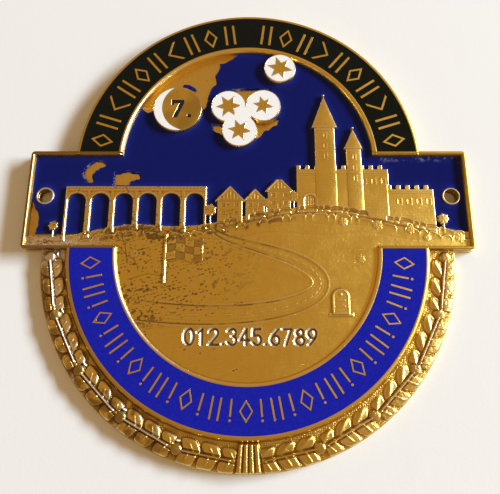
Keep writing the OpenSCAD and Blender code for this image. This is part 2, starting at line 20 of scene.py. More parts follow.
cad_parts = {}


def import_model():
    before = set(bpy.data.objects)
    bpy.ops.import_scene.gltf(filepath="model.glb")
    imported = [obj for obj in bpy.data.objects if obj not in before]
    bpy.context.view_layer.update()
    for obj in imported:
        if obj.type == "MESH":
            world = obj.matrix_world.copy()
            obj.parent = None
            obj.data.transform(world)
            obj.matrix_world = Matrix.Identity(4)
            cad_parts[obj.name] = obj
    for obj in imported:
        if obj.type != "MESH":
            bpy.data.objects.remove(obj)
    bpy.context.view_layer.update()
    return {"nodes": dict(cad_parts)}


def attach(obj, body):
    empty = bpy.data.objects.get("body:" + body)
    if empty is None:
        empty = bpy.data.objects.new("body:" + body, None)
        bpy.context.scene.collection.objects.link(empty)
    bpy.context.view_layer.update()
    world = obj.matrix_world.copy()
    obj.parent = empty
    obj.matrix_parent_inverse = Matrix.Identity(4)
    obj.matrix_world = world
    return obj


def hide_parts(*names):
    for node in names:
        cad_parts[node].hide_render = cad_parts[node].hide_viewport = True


MM = 0.001
MID_Y = 5.95
# More than any distance, the usual width of a struck edge, and degrees above which an edge is sharp
FAR, SLOPE, CREASE = 1e9, 0.16, 32.0
# Radius of the openings that scenery and fills leave round the holes, and corners of a hole's circle
HOLE_ROOM, HOLE_STEPS = 1.7, 96
SIDES = ((-1, "left"), (1, "right"))

log = logging.getLogger("plaque")
Array = np.ndarray
Pair = tuple[float, float]
Triple = tuple[float, float, float]
Colour = Triple


@dataclass(frozen=True)
class Plan:
    """Driving sizes of the plaque in mm, the same values as the part's source."""

    plate_t: float = 3.0
    floor_t: float = 1.6
    rim_w: float = 0.75
    arch_r: float = 36.2
    arch_y: float = 18.2
    inner_y: float = 18.9
    sky_r: float = 26.45
    arch_rim_in_r: float = 26.8
    arch_fill_in_r: float = 27.3
    arch_fill_r: float = 35.6
    ear_half: float = 45.8
    ear_bottom: float = -0.3
    ear_top: float = 21.0
    ear_corner_r: float = 0.8
    field_r: float = 26.3
    band_fill_in_r: float = 27.05
    band_fill_r: float = 35.75
    band_r: float = 36.5
    wreath_r: float = 42.0
    wreath_y: float = -0.5
    hole_x: float = 42.2
    hole_y: float = 11.2
    hole_r: float = 1.5
    collar_r: float = 1.9
    collar_top: float = 2.25
    sky_top: float = 2.0
    fill_floor: float = 2.46
    white_floor: float = 2.61
    ground: float = 2.25
    wreath_ground: float = 1.7
    leaf_top: float = 2.5
    disc_rim_w: float = 0.2
    sunk: float = 1.5
    buried: float = 1.2


PLAN = Plan()


# Distances and patterns, each worked out on whole arrays


def disc(x: Array, y: Array, cx: float, cy: float, r: float) -> Array:
    """Signed distance to a circle: the distance to its centre less its radius."""
    return np.hypot(x - cx, y - cy) - r


def box(x: Array, y: Array, cx: float, cy: float, hw: float, hh: float) -> Array:
    """Signed distance to a rectangle of half sizes hw and hh."""
    dx, dy = abs(x - cx) - hw, abs(y - cy) - hh
    return np.minimum(np.maximum(dx, dy), 0) + np.hypot(np.maximum(dx, 0), np.maximum(dy, 0))


def block(x: Array, y: Array, left: float, right: float, low: float, high: float) -> Array:
    """Signed distance to the rectangle between two sides and two heights."""
    return box(x, y, (left + right) / 2, (low + high) / 2, (right - left) / 2, (high - low) / 2)


def along(x: Array, y: Array, a: Pair, b: Pair) -> tuple[Array, Array]:
    """Share of the way from a to b that is nearest to each place, and the distance to it."""
    (ax, ay), ux, uy = a, b[0] - a[0], b[1] - a[1]
    t = held(((x - ax) * ux + (y - ay) * uy) / (ux * ux + uy * uy + 1e-12))
    return t, np.hypot(x - ax - t * ux, y - ay - t * uy)


def stroke(x: Array, y: Array, points: Sequence[Pair]) -> Array:
    """Distance to an open line of straight runs: the least of the distances to its runs."""
    best = np.full(x.shape, FAR)
    for a, b in zip(points[:-1], points[1:]):
        best = np.minimum(best, along(x, y, a, b)[1])
    return best


def area(x: Array, y: Array, corners: Sequence[Pair]) -> Array:
    """Signed distance to a closed polygon: the distance to its edges, negative inside.

    Inside is where a ray to the right crosses the edges an odd number of times.
    """
    closed = list(corners) + [corners[0]]
    inside = np.zeros(x.shape, bool)
    for (ax, ay), (bx, by) in zip(closed[:-1], closed[1:]):
        if ay != by:
            spans = (ay > y) != (by > y)
            inside ^= spans & (x < ax + (y - ay) * (bx - ax) / (by - ay))
    return np.where(inside, -1, 1) * stroke(x, y, closed)


def cover(distance: Array, ramp: float = SLOPE) -> Array:
    """Share covered by a shape: 1 inside, 0 outside and a straight ramp across its edge."""
    return held(0.5 - distance / ramp)


def held(t: Array) -> Array:
    """A share, kept from 0 to 1."""
    return np.clip(t, 0, 1)


def eased(t: Array) -> Array:
    """Smooth step 3t² − 2t³ of a share."""
    return t * t * (3 - 2 * t)


def bell(t: Array) -> Array:
    """Bell curve e^(−t²)."""
    return np.exp(-(t**2))


def dome(t: Array) -> Array:
    """Half round √(1 − t²), and 0 beyond its ends."""
    return np.sqrt(held(1 - t**2))


def repeats(x: Array, pitch: float) -> Array:
    """Distance to the nearest whole multiple of a pitch."""
    return abs(x / pitch - np.round(x / pitch)) * pitch


def lottery(i: Array, j: Array, seed: int) -> Array:
    """Number from 0 to 1 for each pair of whole numbers, always the same for the same seed."""
    n = (i.astype(np.int64) * 374761393 + j.astype(np.int64) * 668265263 + seed * 974711) & 0x7FFFFFFF
    n = ((n ^ (n >> 13)) * 1274126177) & 0x7FFFFFFF
    return ((n ^ (n >> 16)) & 0xFFFF) / 65535.0


def clouds(x: Array, y: Array, size: float, seed: int, octaves: int = 1) -> Array:
    """Soft noise from 0 to 1: lattice values joined by eased steps, in layers of half size each."""
    total = np.zeros(x.shape)
    weight = 0.0
    for k in range(octaves):
        u, v = x / size * 2**k, y / size * 2**k
        i, j = np.floor(u), np.floor(v)
        s, t = eased(u - i), eased(v - j)
        low = lottery(i, j, seed + k) * (1 - s) + lottery(i + 1, j, seed + k) * s
        high = lottery(i, j + 1, seed + k) * (1 - s) + lottery(i + 1, j + 1, seed + k) * s
        total += (low * (1 - t) + high * t) / 2**k
        weight += 1 / 2**k
    return total / weight


def courses(x: Array, y: Array, w: float, h: float) -> Array:
    """Distance to the nearest joint of a stone wall whose rows are shifted by half a stone."""
    row = np.floor(y / h)
    place = x / w + (row % 2) * 0.5 + lottery(row, row * 0, 5) * 0.3
    across = abs(place - np.round(place)) * w
    return np.minimum(across, repeats(y, h))


def scattered(x: Array, y: Array, cell: float, length: float, seed: int, lean: float = 90.0) -> Array:
    """Distance to short strokes, one in each cell, at a place and slant drawn for the cell.

    Args:
        x, y: places to measure from.
        cell: size of the square cells.
        length: length of a stroke.
        seed: number of the draw.
        lean: middle direction of the strokes, in degrees.
    """
    i, j = np.floor(x / cell), np.floor(y / cell)
    reach = max(cell - length, 0) * 0.5
    cx = (i + 0.5) * cell + (lottery(i, j, seed) - 0.5) * reach
    cy = (j + 0.5) * cell + (lottery(i, j, seed + 1) - 0.5) * reach
    turn = np.radians(lean + (lottery(i, j, seed + 2) - 0.5) * 50)
    u = (x - cx) * np.cos(turn) + (y - cy) * np.sin(turn)
    v = (y - cy) * np.cos(turn) - (x - cx) * np.sin(turn)
    return np.hypot(np.maximum(abs(u) - length / 2, 0), v)


def softened(values: Array, reach: int) -> Array:
    """Mean over a square of 2·reach + 1 cells, as a running sum along each axis in turn."""
    out = values
    for axis in (0, 1):
        pad = [(0, 0), (0, 0)]
        pad[axis] = (reach + 1, reach)
        run = np.cumsum(np.pad(out, pad, mode="edge"), axis=axis)
        n = run.shape[axis]
        width = 2 * reach + 1
        out = (np.take(run, range(width, n), axis) - np.take(run, range(n - width), axis)) / width
    return out


# Closed surfaces


@dataclass
class Shell:
    """A closed surface of quads and flat caps, in mm.

    Attributes:
        points: corners, one row each.
        quads: four corner numbers a row.
        caps: flat many-sided faces.
        marks: value of each named mark at each corner.
        soft: how many of the first quads are smooth with sharp borders, or 0 for a swept surface.
    """

    points: Array
    quads: Array
    caps: list[Array] = field(default_factory=list)
    marks: dict[str, Array] = field(default_factory=dict)
    soft: int = 0

    def volume(self) -> float:
        """Sum over all faces, cut into triangles from their first corner, of a·(b×c)/6."""
        fans = [np.stack([np.full(len(c) - 2, c[0]), c[1:-1], c[2:]], 1) for c in self.caps]
        tris = np.concatenate([self.quads[:, [0, 1, 2]], self.quads[:, [0, 2, 3]], *fans])
        a, b, c = (self.points[tris[:, k]] for k in range(3))
        return float(np.einsum("ij,ij->i", a, np.cross(b, c)).sum() / 6)

    def join(self, other: Shell) -> Shell:
        """Both surfaces in one, the other's corner numbers moved up behind this one's."""
        n = len(self.points)
        return Shell(
            np.concatenate([self.points, other.points]),
            np.concatenate([self.quads, other.quads + n]), self.caps + [c + n for c in other.caps],
        )

    def turned(self) -> Shell:
        """The same surface with its faces looking the other way."""
        return replace(self, quads=self.quads[:, ::-1], caps=[c[::-1] for c in self.caps])

    def outward(self) -> Shell:
        """The same surface with its faces looking outwards."""
        return self.turned() if self.volume() < 0 else self


def grid_quads(rows: int, columns: int, loop_rows: bool = False, loop_columns: bool = False) -> Array:
    """Corner numbers of the quads of a grid that is numbered row by row.

    Args:
        rows, columns: size of the grid.
        loop_rows: the last row joins the first.
        loop_columns: the last column joins the first.

    Returns:
        One row of four numbers for each quad.
    """
    i = np.arange(rows if loop_rows else rows - 1)[:, None]
    j = np.arange(columns if loop_columns else columns - 1)[None, :]
    ni, nj = (i + 1) % rows, (j + 1) % columns
    corners = [i * columns + j, i * columns + nj, ni * columns + nj, ni * columns + j]
    return np.stack([np.broadcast_to(c, (i.size, j.size)) for c in corners], -1).reshape(-1, 4)


def slab(x: Array, y: Array, z: Array, base: float, marks: dict[str, Array]) -> Shell:
    """Closed solid under a height field: the field on top, walls at its border, a flat base.

    Args:
        x, y, z: the field's corners, as grids.
        base: height of the flat base.
        marks: value grids for the named marks.
    """
    rows, columns = x.shape
    number = np.arange(rows * columns).reshape(rows, columns)
    border = np.concatenate([number[0, :], number[1:, -1], number[-1, -2::-1], number[-2:0:-1, 0]])
    top = np.stack([x.ravel(), y.ravel(), z.ravel()], 1)
    foot = top[border].copy()
    foot[:, 2] = base
    low = np.arange(len(border)) + rows * columns
    skirt = np.stack([np.roll(border, -1), border, low, np.roll(low, -1)], 1)
    quads = np.concatenate([grid_quads(rows, columns), skirt])
    out = {k: np.concatenate([v.ravel(), v.ravel()[border]]) for k, v in marks.items()}
    points = np.concatenate([top, foot])
    return Shell(points, quads, [low[::-1]], out, soft=(rows - 1) * (columns - 1))


def tube(sections: Array, looped: bool) -> Shell:
    """Closed solid swept from sections, each a closed ring of corners.

    Args:
        sections: grid of corners, section by section.
        looped: the last section joins the first; otherwise both ends get a flat cap.
    """
    count, around = sections.shape[:2]
    quads = grid_quads(count, around, loop_rows=looped, loop_columns=True)
    ends = [] if looped else [np.arange(around)[::-1], np.arange(around) + (count - 1) * around]
    return Shell(sections.reshape(-1, 3), quads, ends)


def put(name: str, data: ID) -> Object:
    """Makes the object of some data and links it to the scene."""
    thing = bpy.data.objects.new(name, data)
    bpy.context.scene.collection.objects.link(thing)
    return thing


def to_piece(shell: Shell, name: str, crease: float = CREASE) -> Object:
    """Makes the mesh object of a closed surface, with its faces outward and its place in its mesh.

    Args:
        shell: the surface in mm from the lower field's centre.
        name: name of the piece.
        crease: edges sharper than this many degrees stay sharp on swept pieces.
    """
    shell = shell.outward()
    points = (shell.points - np.array([0, MID_Y, 0])) * MM
    loops = np.concatenate([shell.quads.ravel(), *shell.caps]).astype(np.int32)
    sizes = np.array([4] * len(shell.quads) + [len(c) for c in shell.caps], np.int32)
    mesh = bpy.data.meshes.new(name)
    mesh.vertices.add(len(points))
    mesh.vertices.foreach_set("co", points.ravel())
    mesh.loops.add(len(loops))
    mesh.loops.foreach_set("vertex_index", loops)
    mesh.polygons.add(len(sizes))
    mesh.polygons.foreach_set("loop_start", (np.cumsum(sizes) - sizes).astype(np.int32))
    mesh.polygons.foreach_set("use_smooth", np.arange(len(sizes)) < (shell.soft or len(shell.quads)))
    mesh.update(calc_edges=True)
    for key, values in shell.marks.items():
        mesh.attributes.new(key, "FLOAT", "POINT").data.foreach_set("value", values.astype(np.float32))
    if shell.soft:
        edges = np.zeros(len(loops), np.int32)
        mesh.loops.foreach_get("edge_index", edges)
        sharp = np.zeros(len(mesh.edges), bool)
        sharp[np.intersect1d(edges[: 4 * shell.soft], edges[4 * shell.soft :])] = True
        mesh.attributes.new("sharp_edge", "BOOLEAN", "EDGE").data.foreach_set("value", sharp)
    else:
        mesh.set_sharp_from_angle(angle=math.radians(crease))
    log.info("%s: %d faces", name, len(sizes))
    return put(name, mesh)


def bore(side: int, r: float) -> Object:
    """Makes the tool for one hole: a cylinder of radius r through the left (−1) or right (1) ear."""
    turns = np.linspace(0, 2 * math.pi, HOLE_STEPS, endpoint=False)
    x, y = side * PLAN.hole_x + r * np.cos(turns), PLAN.hole_y + r * np.sin(turns)
    rings = [np.stack([x, y, np.full(HOLE_STEPS, z)], 1) for z in (-1.0, PLAN.plate_t + 1)]
    return to_piece(tube(np.stack(rings), looped=False), "cutter")


def cut(piece: Object, cutter: Object) -> None:
    """Takes the cutter's space out of a piece for good, and removes the cutter."""
    modifier = piece.modifiers.new("cut", "BOOLEAN")
    modifier.operation, modifier.solver, modifier.object = "DIFFERENCE", "EXACT", cutter
    graph = bpy.context.evaluated_depsgraph_get()
    done = bpy.data.meshes.new_from_object(piece.evaluated_get(graph))
    piece.modifiers.clear()
    old, spare = piece.data, cutter.data
    piece.data, done.name = done, old.name
    bpy.data.objects.remove(cutter)
    for mesh in (old, spare):
        bpy.data.meshes.remove(mesh)


@dataclass(frozen=True)
class Workshop:
    """Makes the pieces of one material.

    Attributes:
        finish: the material.
        slot: name of the material slot; not used.
        nodes: names of the CAD nodes that its pieces replace.
    """

    finish: Material
    slot: str
    nodes: tuple[str, ...]

    def make(self, shell: Shell, name: str, crease: float = CREASE, holes: Sequence[Pair] = (),
             also: Sequence[str] = ()) -> None:
        """Makes a piece, dresses it, hangs it on the root body and hides the CAD nodes that it stands for.

        Args:
            shell: its surface.
            name: its name.
            crease: edges sharper than this many degrees stay sharp on swept pieces.
            holes: side and radius of each hole through it.
            also: CAD nodes that it replaces besides the workshop's.
        """
        piece = to_piece(shell, name, crease)
        for side, r in holes:
            cut(piece, bore(side, r))
        piece.data.materials.append(self.finish)
        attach(piece, "root")
        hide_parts(*self.nodes, *also)


# Relief


class Relief:
    """A height field over a grid, built up by stamping shapes into it."""

    def __init__(self, x: Array, y: Array, level: float) -> None:
        """Starts flat at a level, over a grid with its corners at x and y."""
        self.x, self.y = x, y
        self.z = np.full(x.shape, level)
        # Stain marks hold real stains and painted shade; the silvery marks hold rubbed places and painted
        # highlights.
        self.stain, self.silver = np.zeros(x.shape), np.zeros(x.shape)

    def level(self, distance: Array, top: float, ramp: float = SLOPE) -> None:
        """Brings the shape to a height: z + (top − z)·cover."""
        self.z += (top - self.z) * cover(distance, ramp)

    def add(self, distance: Array, height: float, ramp: float = 0.18, mask: Array | float = 1.0) -> None:
        """Adds a step of the shape where the mask is: height · mask · eased cover."""
        self.z += height * mask * eased(cover(distance, ramp))

    def engrave(self, distance: Array, depth: float, ramp: float, mask: Array | float = 1.0) -> None:
        """Sinks the shape where the mask is: depth · mask · cover."""
        self.z -= depth * mask * cover(distance, ramp)

    def add_stain_and_shade(self, amount: Array | float) -> None:
        """Darkens each place, with stains and painted shade, at least as strongly as the amount."""
        self.stain = np.maximum(self.stain, amount)

    def pillow(self, distance: Array, height: float, width: float) -> None:
        """Adds a rounded shoulder: height·√(1 − (1 − t)²), t the depth inside over width, up to 1."""
        self.z += height * dome(1 - held(-distance / width))

    def grain(self, mask: Array | float, height: float, size: float, seed: int) -> None:
        """Adds soft noise of the given size about the surface, where the mask is."""
        self.z += height * mask * (clouds(self.x, self.y, size, seed, 2) - 0.5)

    def dots(self, mask: Array, height: float, cell: float, seed: int) -> None:
        """Adds one small round bump in each cell, where the mask is."""
        bump = scattered(self.x, self.y, cell, cell * 0.1, seed) - cell * 0.2
        self.add(bump, height, cell * 0.45, mask)

    def hollow(self, reach: int) -> Array:
        """How far each place lies under its wide and its near surroundings' mean; below 0 on crests. Hollows
        take tarnish and painted shade from it, crests wear and a painted sheen.
        """
        wide, near = (softened(self.z, n) - self.z for n in (reach, 2))
        return np.clip(wide / np.where(wide > 0, 0.2, 0.8) + near / 0.05, -1, 1)

    def marks(self, reach: int = 6) -> dict[str, Array]:
        """The marks that the finishes read."""
        return {"hollow": self.hollow(reach), "stain": held(self.stain), "silver": self.silver}


def even_grid(x0: float, x1: float, y0: float, y1: float, cell: float) -> tuple[Array, Array]:
    """Corners of an even grid over a rectangle, with cells as near as can be to the given size."""
    columns, rows = (max(2, int(round(size / cell)) + 1) for size in (x1 - x0, y1 - y0))
    return tuple(np.meshgrid(np.linspace(x0, x1, columns), np.linspace(y0, y1, rows)))


def round_grid(u: Array, v: Array, cy: float, reach: float) -> tuple[Array, Array]:
    """Corners of a grid whose level rows, at the heights v, run between the sides of a circle."""
    y = np.broadcast_to(v[:, None], (len(v), len(u)))
    return u[None, :] * np.sqrt(reach**2 - (y - cy) ** 2), y


# Numerals, drawn as strokes in a box 0.6 wide and 1 high


def bow(cx: float, cy: float, rx: float, ry: float, start: float, end: float) -> list[Pair]:
    """Points of an elliptic arc, nine of them, from one angle to another in degrees."""
    turns = np.radians(np.linspace(start, end, 9))
    return [(cx + rx * math.cos(t), cy + ry * math.sin(t)) for t in turns]


def numeral_strokes(sign: str) -> list[list[Pair]]:
    """Strokes of one plain numeral or of the full stop, each a list of corners."""
    shapes: dict[str, list[list[Pair]]] = {
        "0": [bow(0.3, 0.5, 0.27, 0.48, 0, 180) + bow(0.3, 0.5, 0.27, 0.48, 180, 360)],
        "1": [[(0.1, 0.74), (0.34, 0.98), (0.34, 0.02)]],
        "2": [bow(0.3, 0.72, 0.25, 0.25, 170, -40) + [(0.05, 0.03), (0.56, 0.03)]],
        "3": [bow(0.29, 0.75, 0.23, 0.22, 160, -80) + bow(0.29, 0.28, 0.26, 0.26, 80, -160)],
        "4": [[(0.42, 0.02), (0.42, 0.98), (0.05, 0.3), (0.58, 0.3)]],
        "5": [[(0.5, 0.97), (0.13, 0.97), (0.1, 0.56)] + bow(0.29, 0.31, 0.26, 0.29, 110, -150)],
        "6": [[(0.47, 0.95), (0.16, 0.6)] + bow(0.3, 0.3, 0.25, 0.28, 150, 510)],
        "7": [[(0.06, 0.97), (0.54, 0.97), (0.22, 0.02)]],
        "8": [bow(0.3, 0.75, 0.21, 0.22, -90, 270), bow(0.3, 0.27, 0.26, 0.25, 90, 450)],
        "9": [bow(0.3, 0.7, 0.25, 0.28, 330, -30) + [(0.42, 0.38), (0.13, 0.05)]],
        ".": [[(0.1, 0.06), (0.12, 0.06)]],
    }
    return shapes[sign]


# The scenery


@dataclass(frozen=True)
class House:
    """A gabled house: left edge, foot, width and height of its wall, and height of its gable."""

    left: float
    foot: float
    width: float
    wall: float
    gable: float

    @property
    def corners(self) -> list[Pair]:
        """Outline of the gable end."""
        right, eaves = self.left + self.width, self.foot + self.wall
        return [
            (self.left, self.foot), (right, self.foot), (right, eaves),
            (self.left + self.width / 2, eaves + self.gable), (self.left, eaves),
        ]


@dataclass(frozen=True)
class Tower:
    """A round tower: middle, width, top of its shaft and height of its pointed roof."""

    x: float
    width: float
    top: float
    roof: float

    @property
    def roof_corners(self) -> list[Pair]:
        """Outline of the roof, whose eaves stand out over the shaft."""
        eaves = self.width * 0.64
        return [(self.x - eaves, self.top), (self.x + eaves, self.top), (self.x, self.top + self.roof)]


@dataclass(frozen=True)
class Clump:
    """A round tree or bush: middle and radius of its crown, and how long its trunk is."""

    x: float
    y: float
    r: float
    trunk: float = 0.0


@dataclass
class Scenery:
    """The struck landscape: hills, viaduct, houses, castle, road, flag, milestone and numerals.

    Attributes:
        plan: the plaque's sizes.
        near_h: height of the viaduct and the houses over the ground.
        castle_h: height of the castle's walls over the ground.
        cell: size of the mesh cells.
    """

    plan: Plan = PLAN
    near_h: float = 0.4
    castle_h: float = 0.5
    cell: float = 0.1
    foot: float = 0.3
    castle_foot: float = 3.0
    gate_y: float = 7.95
    merlon: float = 0.95
    hills: tuple[Triple, ...] = ((-24, 9, 2.2), (14, 24, 6.6))
    skyline_base: float = 2.3
    viaduct_x: float = -37.8
    viaduct_foot: float = 1.0
    viaduct_top: float = 13.2
    viaduct_arches: int = 6
    viaduct_pitch: float = 4.9
    viaduct_arch_r: float = 1.85
    houses: tuple[House, ...] = (
        House(-6.2, 4.2, 5.2, 6.0, 2.8), House(-0.4, 5.6, 4.0, 4.6, 2.2), House(4.2, 6.4, 4.8, 6.0, 2.6),
    )
    towers: tuple[Tower, ...] = (Tower(16.4, 4.4, 26.6, 7.6), Tower(22.4, 3.2, 21.6, 4.8))
    walls: tuple[Triple, ...] = ((10.2, 29.4, 17.0), (29.0, 38.5, 12.6))
    trees: tuple[Clump, ...] = (
        Clump(-7.6, 8.0, 1.25, 1.9), Clump(3.9, 9.6, 0.9, 1.5), Clump(9.6, 11.0, 1.2, 1.7),
        Clump(40.0, 6.2, 1.1, 1.4), Clump(-39.7, 4.6, 1.0, 1.4),
    )
    bushes: tuple[Clump, ...] = (
        Clump(-43.4, 1.7, 0.9), Clump(-34.9, 1.9, 1.0), Clump(-30.1, 2.2, 1.1), Clump(-25.3, 2.6, 1.2),
        Clump(-22.8, -1.2, 0.9), Clump(19.6, 5.6, 0.9), Clump(26.6, 5.0, 1.1), Clump(33.2, 4.0, 1.0),
        Clump(36.4, 2.2, 0.8), Clump(43.0, 2.2, 1.1), Clump(22.8, -2.2, 1.0),
    )
    road_near: tuple[Pair, ...] = ((-1.06, -0.44), (0.1, -0.66), (0.98, -0.36), (0.34, -0.08))
    road_far: tuple[Pair, ...] = ((0.34, -0.08), (0.055, 0.0325), (-0.26, 0.06), (-0.3, 0.2))
    road_w: float = 4.2
    flag_l: float = 7.4
    row_text: str = "012.345.6789"
    row_x: float = -12.2
    row_y: float = -19.3
    row_h: float = 3.2
    row_w: float = 0.58

    def skyline(self, x: Array) -> Array:
        """Height of the far hills: a base and a bell curve for each hill."""
        return self.skyline_base + sum(h * bell((x - m) / w) for m, w, h in self.hills)

    def far_hills(self, x: Array, y: Array) -> Array:
        """Signed distance to the hills: the height under the skyline over √(1 + slope²)."""
        step = 0.05
        slope = (self.skyline(x + step) - self.skyline(x - step)) / (2 * step)
        return (y - self.skyline(x)) / np.sqrt(1 + slope * slope)

    def openings(self, x: Array, y: Array) -> Array:
        """Signed distance to the viaduct's arches, repeated along the deck."""
        spring = self.viaduct_top - self.viaduct_arch_r - 1.6
        k = np.clip(np.floor((x - self.viaduct_x) / self.viaduct_pitch), 0, self.viaduct_arches - 1)
        cx = self.viaduct_x + (k + 0.5) * self.viaduct_pitch
        r = self.viaduct_arch_r
        low = self.viaduct_foot - 1
        legs = box(x, y, cx, (spring + low) / 2, r, (spring - low) / 2)
        return np.minimum(np.hypot(x - cx, y - spring) - r, legs)

    def viaduct(self, x: Array, y: Array) -> Array:
        """Signed distance to the viaduct: its long box without the arches."""
        end = self.viaduct_x + self.viaduct_arches * self.viaduct_pitch
        body = block(x, y, self.viaduct_x, end, self.viaduct_foot, self.viaduct_top)
        return np.maximum(body, -self.openings(x, y))

    def battlements(self, x: Array, y: Array, wall: Triple) -> Array:
        """Signed distance to a wall and its merlons, which repeat every two merlon widths."""
        left, right, top = wall
        pitch, half = 2 * self.merlon, self.merlon / 2
        count = math.floor((right - left + self.merlon) / pitch)
        k = np.clip(np.floor((x - left) / pitch), 0, count - 1)
        merlons = box(x, y, left + (2 * k + 0.5) * self.merlon, top + half - 0.1, half, half + 0.1)
        return np.minimum(block(x, y, left, right, self.castle_foot, top), merlons)

    def shaft(self, x: Array, y: Array, tower: Tower) -> Array:
        """Signed distance to a tower's shaft."""
        half = tower.width / 2
        return block(x, y, tower.x - half, tower.x + half, self.castle_foot, tower.top)

    def crown(self, x: Array, y: Array, clump: Clump) -> Array:
        """Signed distance to a leafy crown: a circle whose radius swells and shrinks round it."""
        turn = np.arctan2(y - clump.y, x - clump.x)
        wave = 0.1 * np.sin(7 * turn + clump.x) + 0.06 * np.sin(12 * turn + 2 * clump.y)
        return np.hypot(x - clump.x, y - clump.y) - clump.r * (1 + wave)

    def outline(self, x: Array, y: Array) -> Array:
        """Signed distance to everything that stands before the sky: the least of all shapes."""
        parts = [self.far_hills(x, y), self.viaduct(x, y)]
        parts += [area(x, y, h.corners) for h in self.houses]
        parts += [self.battlements(x, y, w) for w in self.walls]
        for t in self.towers:
            parts += [self.shaft(x, y, t), area(x, y, t.roof_corners)]
        parts += [self.crown(x, y, t) for t in self.trees]
        return np.minimum.reduce(parts)

    def raise_hills(self, r: Relief) -> None:
        """Strikes the hills: the far ridge and two nearer ones."""
        x, y, g = r.x, r.y, self.plan.ground
        far = self.far_hills(x, y)
        r.level(far, g)
        middle = y - (0.62 * self.skyline(x) + 0.5 * np.sin(x * 0.21 + 1.0))
        near = y - (0.30 * self.skyline(x) + 0.45 * np.sin(x * 0.33) + 0.5)
        r.add(middle, 0.05, 0.3)
        r.pillow(near, 0.05, 0.5)

    def footed(self, r: Relief, before: Array) -> None:
        """Lets what was raised since before end in the ground, 1 to 1.5 mm under the skyline."""
        rise = eased(held((self.far_hills(r.x, r.y) + 1.5) / 0.5))
        r.z = before + (r.z - before) * rise

    def hedge(self, r: Relief, drop: float, pitch: float, seed: int) -> None:
        """Strikes a hedge along the skyline: half round tops side by side, with a thin crest each.

        Args:
            r: the relief.
            drop: how far its tops' feet lie under the skyline.
            pitch: width of a top.
            seed: number of the draw of their heights.
        """
        x, y = r.x, r.y
        shifted = x + 0.5 * np.sin(x * 1.3 + seed)
        k = np.floor(shifted / pitch)
        u = 2 * (shifted / pitch - k) - 1
        size = pitch * (0.2 + 0.22 * lottery(k, k * 0, seed))
        depth = self.skyline(x) - drop + size * dome(u) - y
        body = cover(-depth, 0.14) * np.exp(-np.maximum(depth - 0.5, 0) / 0.5)
        target = self.plan.ground + 0.13 + 0.13 * bell((depth - 0.18) / 0.17)
        r.z += (target - r.z) * body * (lottery(k, k * 0, seed + 1) < 0.86)
        clumps = held(clouds(x, y, 0.8, seed + 2, 2) * 6 - 2.6) * held((14 - x) / 10)
        r.add_stain_and_shade(0.9 * clumps * cover(abs(depth - 0.8) - 0.45, 0.5) * (x > -30))

    def raise_viaduct(self, r: Relief) -> None:
        """Strikes the viaduct with its arch rings, cornice, pilasters and stone courses."""
        x, y = r.x, r.y
        body, holes = self.viaduct(x, y), self.openings(x, y)
        before = r.z.copy()
        r.level(body, self.plan.ground + self.near_h)
        mask = cover(body + 0.1)
        ring = abs(holes - 0.28) - 0.2
        r.add(ring, 0.05, SLOPE, mask * (y > 8.9))
        pier = repeats(x - self.viaduct_x, self.viaduct_pitch) - 0.28
        r.add(np.maximum(pier, y - 12.2), 0.06, SLOPE, mask)
        r.add(abs(y - 12.35) - 0.16, 0.09, SLOPE, mask)
        r.engrave(courses(x, y, 1.05, 0.52) - 0.06, 0.016, 0.13, mask * (ring > 0.1) * (y < 12.1))
        r.engrave(repeats(x, 0.7) - 0.12, 0.07, 0.14, mask * (abs(y - 12.82) < 0.13))
        self.footed(r, before)

    def raise_houses(self, r: Relief) -> None:
        """Strikes the gabled houses with their roof edges, windows and doors."""
        x, y = r.x, r.y
        top = self.plan.ground + self.near_h
        before = r.z.copy()
        for h in self.houses:
            wall = area(x, y, h.corners)
            r.level(wall, top)
            peak, eaves, low = h.left + h.width / 2, h.foot + h.wall, h.foot + h.wall - 0.25
            verge = [(h.left - 0.3, low), (peak, eaves + h.gable + 0.05), (h.left + h.width + 0.3, low)]
            r.level(stroke(x, y, verge) - 0.22, top + 0.09, 0.14)
            r.add(box(x, y, peak, eaves - 0.1, h.width / 2, 0.12), 0.05)
            self.draw(r, box(x, y, peak, h.foot + h.wall / 2 - 0.2, h.width / 2, h.wall / 2), 0.7)
            for side in (-1, 1):
                for row in range(2 if h.wall > 5 else 1):
                    self.window(r, peak + side * h.width * 0.26, eaves - 1.15 - 1.75 * row, 0.5, 0.55)
            self.window(r, peak, eaves - h.wall * 0.62, 0.42, 1.0)
            r.add(repeats(x, 0.7) - 0.1, 0.07, SLOPE, cover(wall + 0.35, 0.1) * (y > eaves + 0.2))
        self.footed(r, before)

    def window(self, r: Relief, cx: float, cy: float, hw: float, hh: float) -> None:
        """Strikes a window or door: a thin raised frame round a slightly sunk pane."""
        edge = box(r.x, r.y, cx, cy, hw, hh)
        r.add(abs(edge) - 0.1, 0.045, 0.2)
        r.engrave(edge + 0.14, 0.03, 0.2)
        self.draw(r, edge + 0.12, 0.6)

    def draw(self, r: Relief, distance: Array, strength: float) -> None:
        """Draws a dark hairline where a distance is 0, fainter to the right."""
        r.add_stain_and_shade(strength * (cover(abs(distance) - 0.04, 0.13) * held((26 - r.x) / 30)))

    def raise_castle(self, r: Relief) -> None:
        """Strikes the castle: its walls, its towers and its gate."""
        before = r.z.copy()
        top = self.plan.ground + self.castle_h
        for drop, wall in zip((0.0, 0.08), self.walls):
            self.raise_wall(r, wall, top - drop)
        for tower in self.towers:
            self.raise_tower(r, tower, top)
        self.sink_gate(r, 12.9, 1.1)
        self.footed(r, before)

    def stones(self, r: Relief, mask: Array, depth: float, w: float, h: float, shift: float = 0.0) -> None:
        """Engraves the joints of stones of width w and height h, where the mask is."""
        r.engrave(courses(r.x + shift, r.y, w, h) - 0.06, depth, 0.13, mask)

